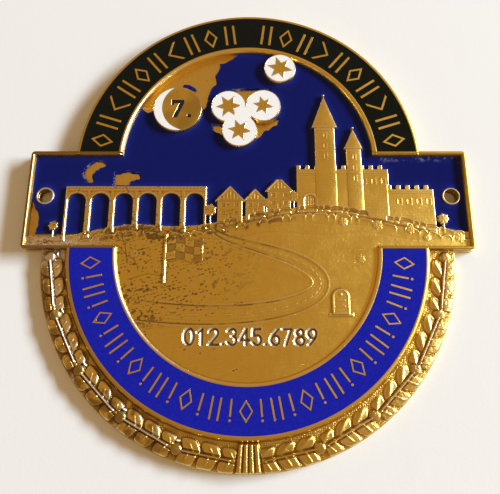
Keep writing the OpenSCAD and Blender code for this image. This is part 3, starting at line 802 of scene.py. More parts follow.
    def raise_wall(self, r: Relief, wall: Triple, top: float) -> None:
        """Strikes one castle wall with its merlons, stones, cornice and slits."""
        x, y = r.x, r.y
        _, right, crest = wall
        body = self.battlements(x, y, wall)
        r.level(body, top)
        mask = cover(body + 0.12)
        kept = (clouds(x, y, 2.2, 17) > 0.36) & (y < crest - 1.2)
        self.stones(r, mask * kept, 0.016, 1.25, 0.62)
        r.add(abs(y - crest + 0.75) - 0.16, 0.07, SLOPE, mask)
        for k in range(4):
            self.window(r, right - 1.2 - 2.0 * k, crest - 2.75, 0.45, 0.65)

    def raise_tower(self, r: Relief, t: Tower, top: float) -> None:
        """Strikes one tower: a swelling shaft with bands and slits under a tiled cone with a ball."""
        x, y = r.x, r.y
        body = self.shaft(x, y, t)
        mask = cover(body)
        r.level(body, top)
        r.z += 0.2 * dome((x - t.x) / (t.width / 2 - 0.02)) * mask
        kept = clouds(x, y, 1.8, 23) > 0.34
        self.stones(r, cover(body + 0.12) * kept, 0.018, 1.1, 0.66, 0.3)
        for band in (t.top - 0.5, t.top - 5.4):
            r.add(abs(y - band) - 0.2, 0.06, SLOPE, mask)
        for k in range(3):
            self.window(r, t.x, t.top - 1.95 - 2.4 * k, 0.32, 0.62)
        roof = area(x, y, t.roof_corners)
        half = np.maximum(t.width * 0.64 * (t.top + t.roof - y) / t.roof, 0.05)
        r.level(roof, top)
        r.z += (0.2 * dome((x - t.x) / half) * held(half / 1.2) + 0.03) * cover(roof)
        r.engrave(courses(x, y, 0.55, 0.5) - 0.05, 0.02, 0.12, cover(roof + 0.1, 0.14))
        r.level(disc(x, y, t.x, t.top + t.roof + 0.1, 0.28), top + 0.1)

    def sink_gate(self, r: Relief, cx: float, half: float) -> None:
        """Sinks the round-topped gate with its raised edge and its grating."""
        x, y = r.x, r.y
        cy = self.gate_y + 2 * half
        gate = np.minimum(disc(x, y, cx, cy, half), box(x, y, cx, cy - 1.2, half, 1.2))
        r.add(gate - 0.45, 0.06, 0.14)
        r.add(gate, -0.25, 0.14)
        bars = np.minimum(repeats(x, 0.5), repeats(y, 0.5))
        r.engrave(bars - 0.07, -0.09, 0.12, cover(gate + 0.05, 0.12))

    def raise_clump(self, r: Relief, clump: Clump, lift: float) -> None:
        """Strikes a tree or bush: trunk, rounded crown and leaf bumps on it."""
        x, y = r.x, r.y
        if clump.trunk:
            ends = [(clump.x, clump.y), (clump.x, clump.y - clump.r - clump.trunk)]
            r.level(stroke(x, y, ends) - 0.2, self.plan.ground + lift)
        crown = self.crown(x, y, clump)
        base = self.plan.ground + (lift if clump.trunk else 0.05)
        r.level(crown, base)
        r.pillow(crown, 0.12, clump.r * 0.9)
        r.dots(cover(crown + 0.15, 0.2), 0.05, 0.5, int(clump.x * 7) + 91)

    def road_line(self) -> tuple[Array, Array]:
        """Middle points and half widths of the road, along both of its curves.

        Returns:
            Points of (1−t)³a + 3t(1−t)²b + 3t²(1−t)c + t³d for each curve, and the half width at each.
        """
        t = np.linspace(0, 1, 40)[:, None]
        runs = []
        for p in (self.road_near, self.road_far):
            a, b, c, d = (np.array(q) * self.plan.field_r for q in p)
            runs.append((1 - t) ** 3 * a + 3 * t * (1 - t) ** 2 * b + 3 * t * t * (1 - t) * c + t**3 * d)
        points = np.concatenate(runs)
        share = np.concatenate([t[:, 0], 1 + t[:, 0]])
        return points, self.road_w / 2 * (1 - 0.42 * share)

    def lay_road(self, r: Relief) -> None:
        """Strikes the road: a smooth bed between two banks, with a dashed middle line."""
        x, y = r.x, r.y
        points, half = self.road_line()
        off, share = np.full(x.shape, FAR), np.zeros(x.shape)
        for k in range(len(points) - 1):
            t, d = along(x, y, points[k], points[k + 1])
            d /= half[k]
            nearer = d < off
            off = np.where(nearer, d, off)
            share = np.where(nearer, k + t, share)
        width = np.interp(share, np.arange(len(half)), half)
        edge = (off - 1) * width
        bed = cover(edge, 0.2)
        visible = eased(held((4.6 - y) / 0.8))
        calm = softened(r.z, 4)
        r.z += (calm - r.z) * bed * visible
        r.z -= 0.05 * bed * visible
        r.z += 0.05 * visible * bell((edge - 0.18) / 0.2)
        broken = held((clouds(x, y, 2.4, 53, 2) - 0.36) * 8) * held((14 - x) / 12)
        r.add_stain_and_shade(0.95 * visible * broken * cover(abs(edge + 0.1) - 0.12))
        self.draw(r, np.where(visible > 0.5, edge, 1.0), 0.6)
        dash = abs(off * width) - 0.1 * np.clip(width / 1.6, 0.5, 1)
        r.add(dash, 0.06, 0.14, visible * ((share * 0.55) % 1 < 0.55))
        r.engrave(abs(off - 0.55) * width - 0.12, 0.02, 0.2, visible)

    def raise_flag(self, r: Relief) -> None:
        """Strikes the chequered flag: a waved cloth with every second square raised, and its pole."""
        x, y = r.x, r.y
        columns, rows = 4, 3
        cell = self.flag_l / columns
        x0, y0 = -0.62 * self.plan.field_r, -0.27 * self.plan.field_r
        i = (x - x0) / cell
        wave = 0.22 * np.sin(np.radians(85 * i))
        j = (y - y0 - 0.6 * self.flag_l) / cell / 0.86 - wave / 0.86
        cloth = np.maximum(abs(i - columns / 2) - columns / 2, abs(j - rows / 2) - rows / 2) * cell
        r.level(cloth, self.plan.ground + 0.16, 0.24)
        r.z += 0.07 * cover(cloth) * np.sin(np.radians(85 * i + 60))
        square = np.maximum(abs(i % 1 - 0.5), abs(j % 1 - 0.5) * 0.86) * cell - 0.46 * cell
        dark = (np.floor(i) + np.floor(j)) % 2 == 0
        r.add(np.where(dark, square, 1.0), 0.08, 0.3, cover(cloth, 0.1))
        lines = np.minimum(abs(cloth), np.where(cloth < 0, abs(square), 1.0))
        r.add_stain_and_shade(0.85 * cover(lines - 0.05, 0.14))
        r.add_stain_and_shade(0.55 * cover(cloth, 0.1) * cover(np.where(dark, 1.0, square), 0.2))
        pole_x, top = x0 - 0.25, self.plan.ground + self.near_h
        r.level(stroke(x, y, [(pole_x, y0), (pole_x, y0 + 1.26 * self.flag_l)]) - 0.26, top)
        r.level(disc(x, y, pole_x, y0 + 1.3 * self.flag_l, 0.42), top + 0.08)

    def raise_stone(self, r: Relief) -> None:
        """Strikes the milestone: a round-topped block with a raised edge and two plain lines."""
        x, y = r.x, r.y
        cx, cy = 0.7 * self.plan.field_r, -0.51 * self.plan.field_r
        w = 0.065 * self.plan.field_r
        stone = np.minimum(box(x, y, cx, cy + w, w, w), disc(x, y, cx, cy + 2 * w, w))
        r.level(box(x, y, cx, cy, 1.4 * w, 0.3), self.plan.ground + 0.25)
        r.level(stone, self.plan.ground + self.near_h)
        r.add(stone + 0.38, -0.06, 0.2)
        r.add_stain_and_shade(0.7 * cover(abs(stone) - 0.05, 0.14))
        for k in (0.95, 1.65):
            r.add(box(x, y, cx, cy + w * k, w * 0.5, 0.1), 0.08, 0.14)
        r.add(disc(x, y, cx, cy + w * 2.3, 0.3), 0.08, 0.14)

    def punch_row(self, r: Relief) -> None:
        """Punches the row of plain numerals into the lower field, with a burr round each stroke."""
        x, y = r.x, r.y
        best, black = np.full(x.shape, 9.0), np.full(x.shape, 9.0)
        across = self.row_x
        rows = np.where((abs(y - self.row_y - self.row_h / 2) < self.row_h).any(axis=1))[0]
        if not len(rows):
            return
        part = slice(rows[0], rows[-1] + 1)
        for sign in self.row_text:
            for line in numeral_strokes(sign):
                points = [(across + u * self.row_h, self.row_y + v * self.row_h) for u, v in line]
                best[part] = np.minimum(best[part], stroke(x[part], y[part], points))
                black[part] = np.minimum(black[part], stroke(x[part] - 0.3, y[part] + 0.06, points))
            across += self.row_h * (0.36 if sign == "." else 0.745)
        groove = best - self.row_w / 2
        r.z += 0.03 * bell((groove - 0.12) / 0.12)
        r.engrave(groove, 0.2, 0.2)
        # Painted shadow along a copy of the strokes moved 0.3 mm right and 0.06 mm down, whose distance is
        # named black, and a silvery painted highlight on the rest of each groove.
        dark = cover(black - self.row_w * 0.36, 0.12)
        r.silver = cover(groove, 0.1) * (1 - dark)
        r.add_stain_and_shade(dark * cover(groove - 0.1, 0.1))

    def wear(self, r: Relief) -> None:
        """Marks the thin wandering stains at the left, the scattered pits and the places rubbed bare."""
        x, y = r.x, r.y
        wander = (clouds(x, y, 1.6, 41, 2) - 0.5) * 0.9
        paths = (
            [(-27.6, 16.0), (-24.5, 12.0), (-26.4, 8.4), (-26.0, 4.0), (-24.2, -0.5), (-24.0, -3.0)],
            [(-26.2, 0.2), (-22.5, -2.6), (-21.9, -4.8)],
            [(-23.8, -6.6), (-20.0, -5.4), (-16.5, -5.8)],
        )
        for width, path in zip((0.13, 0.1, 0.08), paths):
            line = stroke(x + wander, y + wander * 0.6, path) - width
            r.add_stain_and_shade(0.9 * cover(line))
        u, v = x + 0.26 * y, y - 0.26 * x
        zone = held((4 - x) / 16) * held((9.5 - y) / 4) * held((v + 12) / 3)
        clumps = clouds(u * 0.85, v * 1.2, 0.62, 45, 2) - 0.3 * clouds(u * 0.4, v, 3.2, 48)
        pits = scattered(u, v, 0.7, 0.25, 47, 0) - 0.03 - 0.12 * clouds(x, y, 0.9, 49)
        chance = 0.3 * zone + 0.12 * held((6 - x) / 30)
        drawn = lottery(np.floor(u / 0.7), np.floor(v / 0.7), 51) < chance
        hit = np.maximum(cover(pits, 0.12) * drawn, 0.95 * zone * held((clumps - 0.5) * 12))
        r.add_stain_and_shade(hit)
        r.z -= 0.02 * hit
        rubbed = held((-27 - x) / 8) * held((2.9 - y) / 1.4)
        rubbed *= held(clouds(x * 0.35, y * 2, 0.9, 57, 2) * 3 - 0.9)
        r.silver = np.maximum(r.silver, 0.6 * rubbed)
        r.stain *= 1 - 0.6 * rubbed

    def relief(self, x: Array, y: Array) -> Relief:
        """The whole landscape's height field over a grid with its corners at x and y."""
        r = Relief(x, y, self.plan.sunk)
        self.raise_hills(r)
        self.raise_viaduct(r)
        self.raise_castle(r)
        self.raise_houses(r)
        for tree in self.trees:
            self.raise_clump(r, tree, 0.36)
        self.hedge(r, 0.5, 1.75, 5)
        self.hedge(r, 2.1, 2.3, 9)
        ground = cover(self.far_hills(x, y) + 0.4, 0.3)
        tufts = scattered(x, y, 1.1, 0.3, 61, 70) - 0.08
        drawn = lottery(np.floor(x / 1.1), np.floor(y / 1.1), 66) < 0.4
        r.z += 0.025 * ground * drawn * cover(tufts, 0.2) * held((y + 7) / 4) * (r.z < 2.55)
        self.lay_road(r)
        for bush in self.bushes:
            self.raise_clump(r, bush, 0.12)
        self.raise_flag(r)
        self.raise_stone(r)
        streaks = clouds(x * 0.35 + y * 0.1, y * 2.4 - x * 0.5, 1.0, 71, 2) - 0.5
        r.z += 0.018 * streaks * held((-6 - y) / 5)
        r.grain(cover(self.outline(x, y) + 0.3, 0.3), 0.03, 1.1, 73)
        r.grain(ground, 0.01, 0.35, 75)
        self.punch_row(r)
        self.wear(r)
        r.z = np.minimum(r.z, self.plan.plate_t - 0.012)
        return r

    def build(self, shop: Workshop) -> None:
        """Makes the pieces of the landscape: three strips, the towers and the lower field in two."""
        edge = self.plan.ear_half - 0.6
        strips = {
            "scenery_left": (-edge, -14.0, self.foot, 14.2),
            "scenery_middle": (-14.0, 9.0, self.foot, 14.6),
            "scenery_right": (9.0, edge, self.foot, 18.9),
            "castle_towers": (12.6, 25.4, 18.9, 34.7),
        }
        grids = {name: even_grid(*bounds, self.cell) for name, bounds in strips.items()}
        reach = self.plan.field_r + 0.12
        v = np.linspace(-reach + 0.05, self.foot, 268)
        for name, start in {"field_left": -1.0, "field_right": 0.0}.items():
            grids[name] = round_grid(np.linspace(start, start + 1, 266), v, 0, reach)
        for name, (x, y) in grids.items():
            r = self.relief(x, y)
            holes = [(side, HOLE_ROOM) for side, word in SIDES if name == f"scenery_{word}"]
            shop.make(slab(x, y, r.z, self.plan.buried, r.marks()), name, holes=holes)


# The sky's discs


class Face(Enum):
    """What a sky disc carries on its face."""

    CRESCENT = "crescent"
    STAR = "star"


@dataclass
class SkyDiscs:
    """Moon disc, single star disc and the cluster of three, struck as high as the rims.

    Attributes:
        plan: the plaque's sizes.
        cluster: for each of its discs the middle's distance as a share of the diameter, its direction,
            and the star's turn and size.
    """

    plan: Plan = PLAN
    moon_d: float = 10.6
    moon_angle: float = 141.5
    moon_gap: float = 1.7
    crescent_w: float = 1.75
    crescent_turn: float = 10.0
    star_disc_d: float = 7.0
    star_angle: float = 72.3
    star_edge: float = 0.6
    star_turn: float = 17.0
    cluster_disc_d: float = 7.6
    cluster_rise: float = 10.85
    cluster_x: float = -0.87
    cluster_web: float = 0.25
    cluster: tuple[tuple[float, float, float, float], ...] = (
        (0.5, 151, 33, 0.97), (0.615, 26, 18, 0.8), (0.52, 257, 22, 0.9),
    )
    star_d: float = 5.9
    star_waist: float = 0.47
    numeral_h: float = 4.2
    numeral_w: float = 0.75
    cell: float = 0.085

    def from_arch(self, reach: float, angle: float) -> Pair:
        """Place at a distance and an angle from the inner arch's centre."""
        a = math.radians(angle)
        return reach * math.cos(a), self.plan.inner_y + reach * math.sin(a)

    @property
    def moon(self) -> Pair:
        """Middle of the moon disc."""
        return self.from_arch(self.plan.sky_r - self.moon_gap - self.moon_d / 2, self.moon_angle)

    @property
    def single(self) -> Pair:
        """Middle of the single star disc."""
        reach = self.plan.arch_fill_in_r - self.star_edge - self.star_disc_d / 2
        return self.from_arch(reach, self.star_angle)

    def crescent_edge(self, x: Array, y: Array) -> Array:
        """Signed distance to the crescent: the moon without a bigger circle through one diameter's ends."""
        out_r = self.moon_d / 2 - self.plan.disc_rim_w
        rest = out_r - self.crescent_w
        off = (out_r**2 - rest**2) / 2 / rest
        a = math.radians(self.crescent_turn)
        cx, cy = self.moon[0] + off * math.cos(a), self.moon[1] + off * math.sin(a)
        return np.maximum(disc(x, y, *self.moon, out_r), -disc(x, y, cx, cy, off + rest))

    @property
    def cluster_middles(self) -> list[tuple[float, float, float, float]]:
        """Middle of each disc of the cluster, its star's turn and its star's size."""
        cy = self.plan.inner_y + self.cluster_rise
        out = []
        for share, angle, turn, size in self.cluster:
            a = math.radians(angle)
            reach = share * self.cluster_disc_d
            out.append((self.cluster_x + reach * math.cos(a), cy + reach * math.sin(a), turn, size))
        return out

    def moon_edge(self, x: Array, y: Array) -> Array:
        """Signed distance to the moon disc."""
        return disc(x, y, *self.moon, self.moon_d / 2)

    def single_edge(self, x: Array, y: Array) -> Array:
        """Signed distance to the single star disc."""
        return disc(x, y, *self.single, self.star_disc_d / 2)

    def cluster_edge(self, x: Array, y: Array) -> Array:
        """Signed distance to the cluster: the least of its three discs and the web between them."""
        cy = self.plan.inner_y + self.cluster_rise
        discs = [disc(x, y, cx, my, self.cluster_disc_d / 2) for cx, my, _, _ in self.cluster_middles]
        web = disc(x, y, self.cluster_x, cy, self.cluster_disc_d * self.cluster_web)
        return np.minimum.reduce(discs + [web])

    def outline(self, x: Array, y: Array) -> Array:
        """Signed distance to all the discs."""
        return np.minimum.reduce([self.moon_edge(x, y), self.single_edge(x, y), self.cluster_edge(x, y)])

    def star_corners(self, cx: float, cy: float, turn: float, size: float = 1.0) -> list[Pair]:
        """Corners of a six-pointed star, the inner ones at the waist's share of the radius."""
        r = self.star_d / 2 * size
        points = [(r * (self.star_waist if k % 2 else 1), 90 + turn + 30 * k) for k in range(12)]
        return [(cx + q * math.cos(math.radians(a)), cy + q * math.sin(math.radians(a))) for q, a in points]

    def numeral_edge(self, x: Array, y: Array) -> Array:
        """Signed distance to the plain seven and its stop, punched into the bare disc."""
        h, w = self.numeral_h, self.numeral_w
        half, leg = h * 0.31, w * 1.1
        foot, cx, cy = -half * 0.1, self.moon[0], self.moon[1]
        leg_corners = [
            (cx + half - leg, cy + h / 2 - w), (cx + half, cy + h / 2 - w),
            (cx + foot, cy - h / 2), (cx + foot - leg, cy - h / 2),
        ]
        parts = [
            box(x, y, cx, cy + (h - w) / 2, half, w / 2),
            box(x, y, cx - half + w * 0.3, cy + h / 2 - 1.1 * w, w * 0.3, w / 2),
            area(x, y, leg_corners),
            disc(x, y, cx + half + 1.5 * leg, cy + w * 0.52 - h / 2, w * 0.52),
        ]
        return np.minimum.reduce(parts)

    def disc_relief(self, x: Array, y: Array, edge: Array, face: Face, stars: list[Array]) -> Relief:
        """Height field of one group of discs.

        Args:
            x, y: the grid.
            edge: signed distance to the group's outline.
            face: what it carries.
            stars: signed distances to the stars on it.

        Returns:
            The relief: a disc with a thin rim round the white's recess, the stars standing in it.
        """
        p = self.plan
        r = Relief(x, y, p.sunk)
        r.level(edge - 0.03, p.plate_t - 0.01, 0.18)
        if face is Face.CRESCENT:
            recess = self.crescent_edge(x, y)
            r.z -= 0.30 * cover(self.numeral_edge(x, y) - 0.02, 0.1)
            r.stain = np.clip(1.2 * clouds(x, y, 3.5, 87, 2) - 0.35, 0, 0.5)
        else:
            star = np.minimum.reduce(stars)
            recess = np.maximum(edge + p.disc_rim_w, -star)
            r.grain(cover(star, 0.1), 0.03, 0.6, 81)
            r.dots(cover(star + 0.3, 0.2), -0.05, 0.8, 83)
        r.level(recess, p.white_floor - 0.06, 0.1)
        r.grain(1.0, 0.01, 0.8, 85)
        r.z = np.minimum(r.z, p.plate_t - 0.002)
        return r

    def build(self, shop: Workshop) -> None:
        """Makes the moon disc, the single star disc and the cluster as three pieces."""
        (mx, my), (sx, sy) = self.moon, self.single
        cx, cy = self.cluster_x, self.plan.inner_y + self.cluster_rise
        m, s = (d / 2 + 0.35 for d in (self.moon_d, self.star_disc_d))
        bounds = (cx - 7.4, cx + 8.3, cy - 8.1, cy + 6.2)
        groups = {
            "moon_disc": ((mx - m, mx + m, my - m, my + m), self.moon_edge, []),
            "star_disc": ((sx - s, sx + s, sy - s, sy + s), self.single_edge, [(sx, sy, self.star_turn)]),
            "star_cluster": (bounds, self.cluster_edge, self.cluster_middles),
        }
        for name, (bounds, edge, stars) in groups.items():
            x, y = even_grid(*bounds, self.cell)
            face = Face.STAR if stars else Face.CRESCENT
            shapes = [area(x, y, self.star_corners(*star)) for star in stars]
            r = self.disc_relief(x, y, edge(x, y), face, shapes)
            shop.make(slab(x, y, r.z, self.plan.buried, r.marks(8)), name)


# Plate, rims and ornament


@dataclass
class PlateBody:
    """The blank under the relief: back, side walls and the floor that shows where the sky is chipped."""

    plan: Plan = PLAN
    middle_y: float = 10.0
    spokes: int = 1440
    edge_round: float = 0.16

    def reach(self, turn: Array) -> Array:
        """Distance from the plate's middle to its edge: the farthest of the ears, arch and wreath.

        Args:
            turn: directions in radians.

        Returns:
            For a circle about (0, c): the root of |m + t·d − c| = r, and for the ears the nearer of
            the distances to the lines that bound them.
        """
        p = self.plan
        dx, dy = np.cos(turn), np.sin(turn)
        rays = []
        for cy, r in ((p.arch_y, p.arch_r), (p.wreath_y, p.wreath_r)):
            b = dy * (self.middle_y - cy)
            rays.append(-b + np.sqrt(b * b - (self.middle_y - cy) ** 2 + r * r) - 0.014)
        up = np.where(dy > 0, p.ear_top - self.middle_y, p.ear_bottom - self.middle_y)
        tiny = 1 / FAR
        ear = np.minimum(p.ear_half / np.maximum(abs(dx), tiny), up / np.where(abs(dy) < tiny, tiny, dy))
        return np.maximum(np.maximum(rays[0], rays[1]), ear)

    def spread(self) -> Array:
        """Directions of the spokes, even ones and extra ones at the plate's inner and outer corners."""
        p = self.plan
        corners = [(p.ear_half, p.ear_top), (p.ear_half, p.ear_bottom)]
        for cy, r, y in ((p.arch_y, p.arch_r, p.ear_top), (p.wreath_y, p.wreath_r, p.ear_bottom)):
            corners.append((math.sqrt(r * r - (y - cy) ** 2), y))
        extra = [math.atan2(y - self.middle_y, x) for x, y in corners]
        extra += [math.pi - a for a in extra]
        fine = [a + d for a in extra for d in (-0.004, -0.001, 0.0, 0.001, 0.004)]
        even = np.linspace(0, 2 * math.pi, self.spokes, endpoint=False)
        return np.unique(np.round(np.mod(np.concatenate([even, fine]), 2 * math.pi), 6))

    def build(self, shop: Workshop) -> None:
        """Makes the blank as rings of spokes and cuts both holes through it."""
        p, soft = self.plan, self.edge_round
        turn = self.spread()
        far = self.reach(turn)
        levels = [(0.0, 0.1), (0.06, 0), (p.floor_t - 0.3, 0)]
        levels += [(p.floor_t - soft * 0.3, soft * 0.3), (p.floor_t, soft)]
        rings = []
        for z, inset in levels:
            x, y = (far - inset) * np.cos(turn), self.middle_y + (far - inset) * np.sin(turn)
            rings.append(np.stack([x, y, np.full(len(turn), z)], 1))
        body = tube(np.stack(rings), looped=False)
        # The floor's top takes a little of the paler crest colour, as a painted sheen.
        body.marks = {"hollow": np.where(body.points[:, 2] > p.floor_t - 0.01, -0.2, 0.0)}
        shop.make(body, "plate_body", holes=[(side, p.hole_r) for side, _ in SIDES])


@dataclass
class Rings:
    """The arch's ring and the band's ring: rims, slopes and the floors under the enamels."""

    plan: Plan = PLAN
    steps: int = 300

    @property
    def top(self) -> float:
        """Level of the rims, just under the plaque's full thickness."""
        return self.plan.plate_t - 0.004

    def trough(self, inner: float, outer: float) -> tuple[list[Triple], list[Triple]]:
        """Rows of a section that go down into an enamel's recess at its inner radius and up at its outer."""
        low, edge = self.plan.fill_floor, self.top - 0.03
        down = [(inner - 0.1, self.top, 0), (inner + 0.01, edge, 0.5), (inner + 0.02, low, 1)]
        return down, [(outer - 0.02, low, 1), (outer - 0.01, edge, 0.5)]

    def sweep(self, section: Sequence[Sequence[float]], end_y: float, upper: bool) -> Shell:
        """Carries a section round its circles, from one level line to the other side of it.

        Args:
            section: centre height, radius, level and darkness of each line of the closed section; the
                darkness is painted shade, with tarnish in the hollows, and below 0 a painted highlight.
            end_y: height at which every line starts and ends.
            upper: the arc runs over the top, otherwise under the bottom.

        Returns:
            The closed ring part: centre + r·(cos a, sin a), a from asin((end_y − cy)/r) to its mirror.
        """
        cy, r, z, dark = np.array(section, float).T[:, None, :]
        start = np.arcsin((end_y - cy) / r)
        sweep = math.pi - 2 * start if upper else -math.pi - 2 * start
        a = start + np.linspace(0, 1, self.steps)[:, None] * sweep
        z, dark = (np.broadcast_to(values, a.shape) for values in (z, dark))
        shell = tube(np.stack([r * np.cos(a), cy + r * np.sin(a), z], -1), looped=False)
        # Towards the left, dark lines take painted shade and pale lines a silvery painted highlight.
        left, dark = held(-shell.points[:, 0] / 30), dark.ravel()
        stain, silver = 0.75 * left * held(dark * 2), 0.7 * eased(left) * held(-dark * 1.5)
        shell.marks = {"hollow": dark, "stain": stain, "silver": silver}
        return shell

    def build(self, shop: Workshop) -> None:
        """Makes both rings."""
        p = self.plan
        top = self.top
        down, up = self.trough(p.arch_fill_in_r, p.arch_fill_r)
        # The last value of each row is its darkness: painted shade above 0, a painted highlight below 0.
        arch = [(p.inner_y, *row) for row in (
            (p.sky_r - 0.12, p.buried, 0), (p.sky_r - 0.1, p.sky_top - 0.06, 0.1),
            (p.sky_r + 0.02, p.sky_top + 0.3, 0.1), (p.sky_r + 0.1, top - 0.34, -0.2),
            (p.arch_rim_in_r + 0.04, top - 0.08, -0.3), (p.arch_rim_in_r + 0.16, top, -0.1), *down,
        )]
        arch += [(p.arch_y, *row) for row in (
            *up, (p.arch_fill_r + 0.1, top, 0), (p.arch_r - 0.24, top - 0.01, 0.2),
            (p.arch_r - 0.06, top - 0.12, 0.6), (p.arch_r, top - 0.3, 0.75), (p.arch_r, p.buried, 0.75),
        )]
        down, up = self.trough(p.band_fill_in_r, p.band_fill_r)
        band = [(0, *row) for row in (
            (p.field_r - 0.14, p.buried, 0), (p.field_r - 0.12, p.ground - 0.02, 0.9),
            (p.field_r + 0.1, top - 0.26, 0), (p.field_r + 0.2, top - 0.15, -0.6),
            (p.field_r + 0.36, top - 0.04, -0.7), (p.field_r + 0.5, top, -0.3),
            *down, *up, (p.band_fill_r + 0.08, top, 0.1), (p.band_r - 0.3, top - 0.03, 0.2),
            (p.band_r - 0.02, top - 0.22, 0.35),
            (p.band_r + 0.25, p.wreath_ground + 0.5, 0.5), (p.band_r + 0.5, p.wreath_ground + 0.02, 0.9),
            (p.band_r + 0.7, p.wreath_ground - 0.3, 0), (p.band_r + 0.7, p.buried, 0),
        )]
        shop.make(self.sweep(arch, p.ear_top - p.rim_w, True), "arch_ring", 50)
        shop.make(self.sweep(band, p.ear_bottom + 0.3, False), "band_ring", 50)


@dataclass
class EarRims:
    """The raised frames round both ears and the collars round both holes."""

    plan: Plan = PLAN
    inner_end: float = 26.5
    corner_steps: int = 10

    def frame(self, side: int) -> Shell:
        """Carries the rim's section round one ear.

        Args:
            side: −1 for the left ear, 1 for the right.

        Returns:
            The closed rim: each line of the section is the ear's outline moved in by its inset, with
            the corner's radius less the inset, from the inner end round the ear and back.
        """
        p = self.plan
        # Painted light in the section's last column: the left ear's crest edge and inner slope are pale as
        # painted highlight, the right ear's inner slope and both outer lines dark as painted shade.
        crest, slope = (-0.7, -0.2) if side < 0 else (0.3, 0.95)
        section = [
            (0.0, p.buried, 0.75), (0.0, p.plate_t - 0.2, 0.75), (0.06, p.plate_t - 0.07, 0.6),
            (0.18, p.plate_t - 0.004, 0.5), (0.46, p.plate_t - 0.004, 0.4), (0.6, p.plate_t - 0.08, crest),
            (0.82, p.sky_top + 0.36, slope), (0.93, p.sky_top - 0.05, 0.8), (0.93, p.buried, 1.0),
        ]
        lines, end = [], [self.inner_end]
        a = np.linspace(math.pi / 2, 0, self.corner_steps)
        for inset, z, _ in section:
            r = max(p.ear_corner_r - inset, 0.04)
            cx = p.ear_half - inset - r
            upper, lower = p.ear_top - inset - r, p.ear_bottom + inset + r
            across, rise = cx + r * np.cos(a), r * np.sin(a)
            xs = np.concatenate([end, across, across[::-1], end])
            ys = np.concatenate([[upper + r], upper + rise, lower - rise[::-1], [lower - r]])
            lines.append(np.stack([side * xs, ys, np.full(len(xs), z)], 1))
        shell = tube(np.stack(lines, 1), looped=False)
        x, y = shell.points[:, 0], shell.points[:, 1]
        dark = np.tile([d for _, _, d in section], len(lines[0]))
        # The left ear's pale lines between y 6 and 20 mm take a silvery painted highlight, dulled again by
        # stains; the dark lines take painted shade, strong on the left and weak on the right. The foot lines
        # add silvery patches along the left ear's bottom.
        foot = (0.3 + 0.2 * np.sin(x * 1.7)) * (abs(y) < 0.32) * (side < 0)
        silver = np.maximum(held(-dark) * (abs(y - 13) < 7) * (side < 0), foot)
        stain = ((0.85 if side < 0 else 0.35) * held(dark * 2) + 0.8 * (dark < 0)) * (1 - foot)
        shell.marks = {"hollow": dark, "stain": stain, "silver": silver}
        return shell

    def collar(self, side: int) -> Shell:
        """The struck collar of one hole: a small rounded section turned about the hole's axis."""
        p = self.plan
        inner, outer, top = p.hole_r, p.collar_r, p.collar_top
        section = [
            (inner, 0.1), (inner, top - 0.3), (inner, top - 0.08), (inner + 0.07, top),
            ((inner + outer) / 2 + 0.05, top), (outer - 0.04, top - 0.12), (outer, p.buried), (outer, 0.1),
        ]
        r, z = np.array(section).T[:, None, :]
        a = np.linspace(0, 2 * math.pi, HOLE_STEPS, endpoint=False)[:, None]
        x, y = side * p.hole_x + r * np.cos(a), p.hole_y + r * np.sin(a)
        shell = tube(np.stack([x, y, np.broadcast_to(z, x.shape)], -1), looped=True)
        inside = np.tile(np.arange(len(section)) < 2, HOLE_STEPS)
        # The collar's top takes a silvery painted highlight with wear, strong on the left and weak on the
        # right; the bore's wall is fully stained as painted shade in the hole, and the right collar's
        # outside is stained at 0.45.
        worn_and_sheen = (shell.points[:, 2] > 1.6) & ~inside
        shell.marks = {
            "silver": np.where(worn_and_sheen, 0.75 if side < 0 else 0.35, 0.0),
            "stain": np.where(inside, 1.0, 0.45 * (side > 0)),
        }
        return shell

    def build(self, shop: Workshop) -> None:
        """Makes the frames and the collars of both ears."""
        for side, word in SIDES:
            shop.make(self.frame(side), f"ear_rim_{word}", 50)
            shop.make(self.collar(side), f"hole_collar_{word}", 50)


def moved_out(corners: Array, distance: float) -> Array:
    """Moves a polygon's edges outwards and joins them again.

    Args:
        corners: corners in order.
        distance: how far, negative for inwards.

    Returns:
        For each corner p + (n₁ + n₂)·distance/(1 + n₁·n₂), n being the outward normals of its edges.
    """
    edges = np.roll(corners, -1, 0) - corners
    normal = np.stack([edges[:, 1], -edges[:, 0]], 1) / np.linalg.norm(edges, axis=1)[:, None]
    normal *= np.sign(np.sum(np.cross(corners, np.roll(corners, -1, 0))))
    before = np.roll(normal, 1, 0)
    dot = np.maximum(1 + np.sum(normal * before, 1), 0.25)
    return corners + (normal + before) * (distance / dot)[:, None]


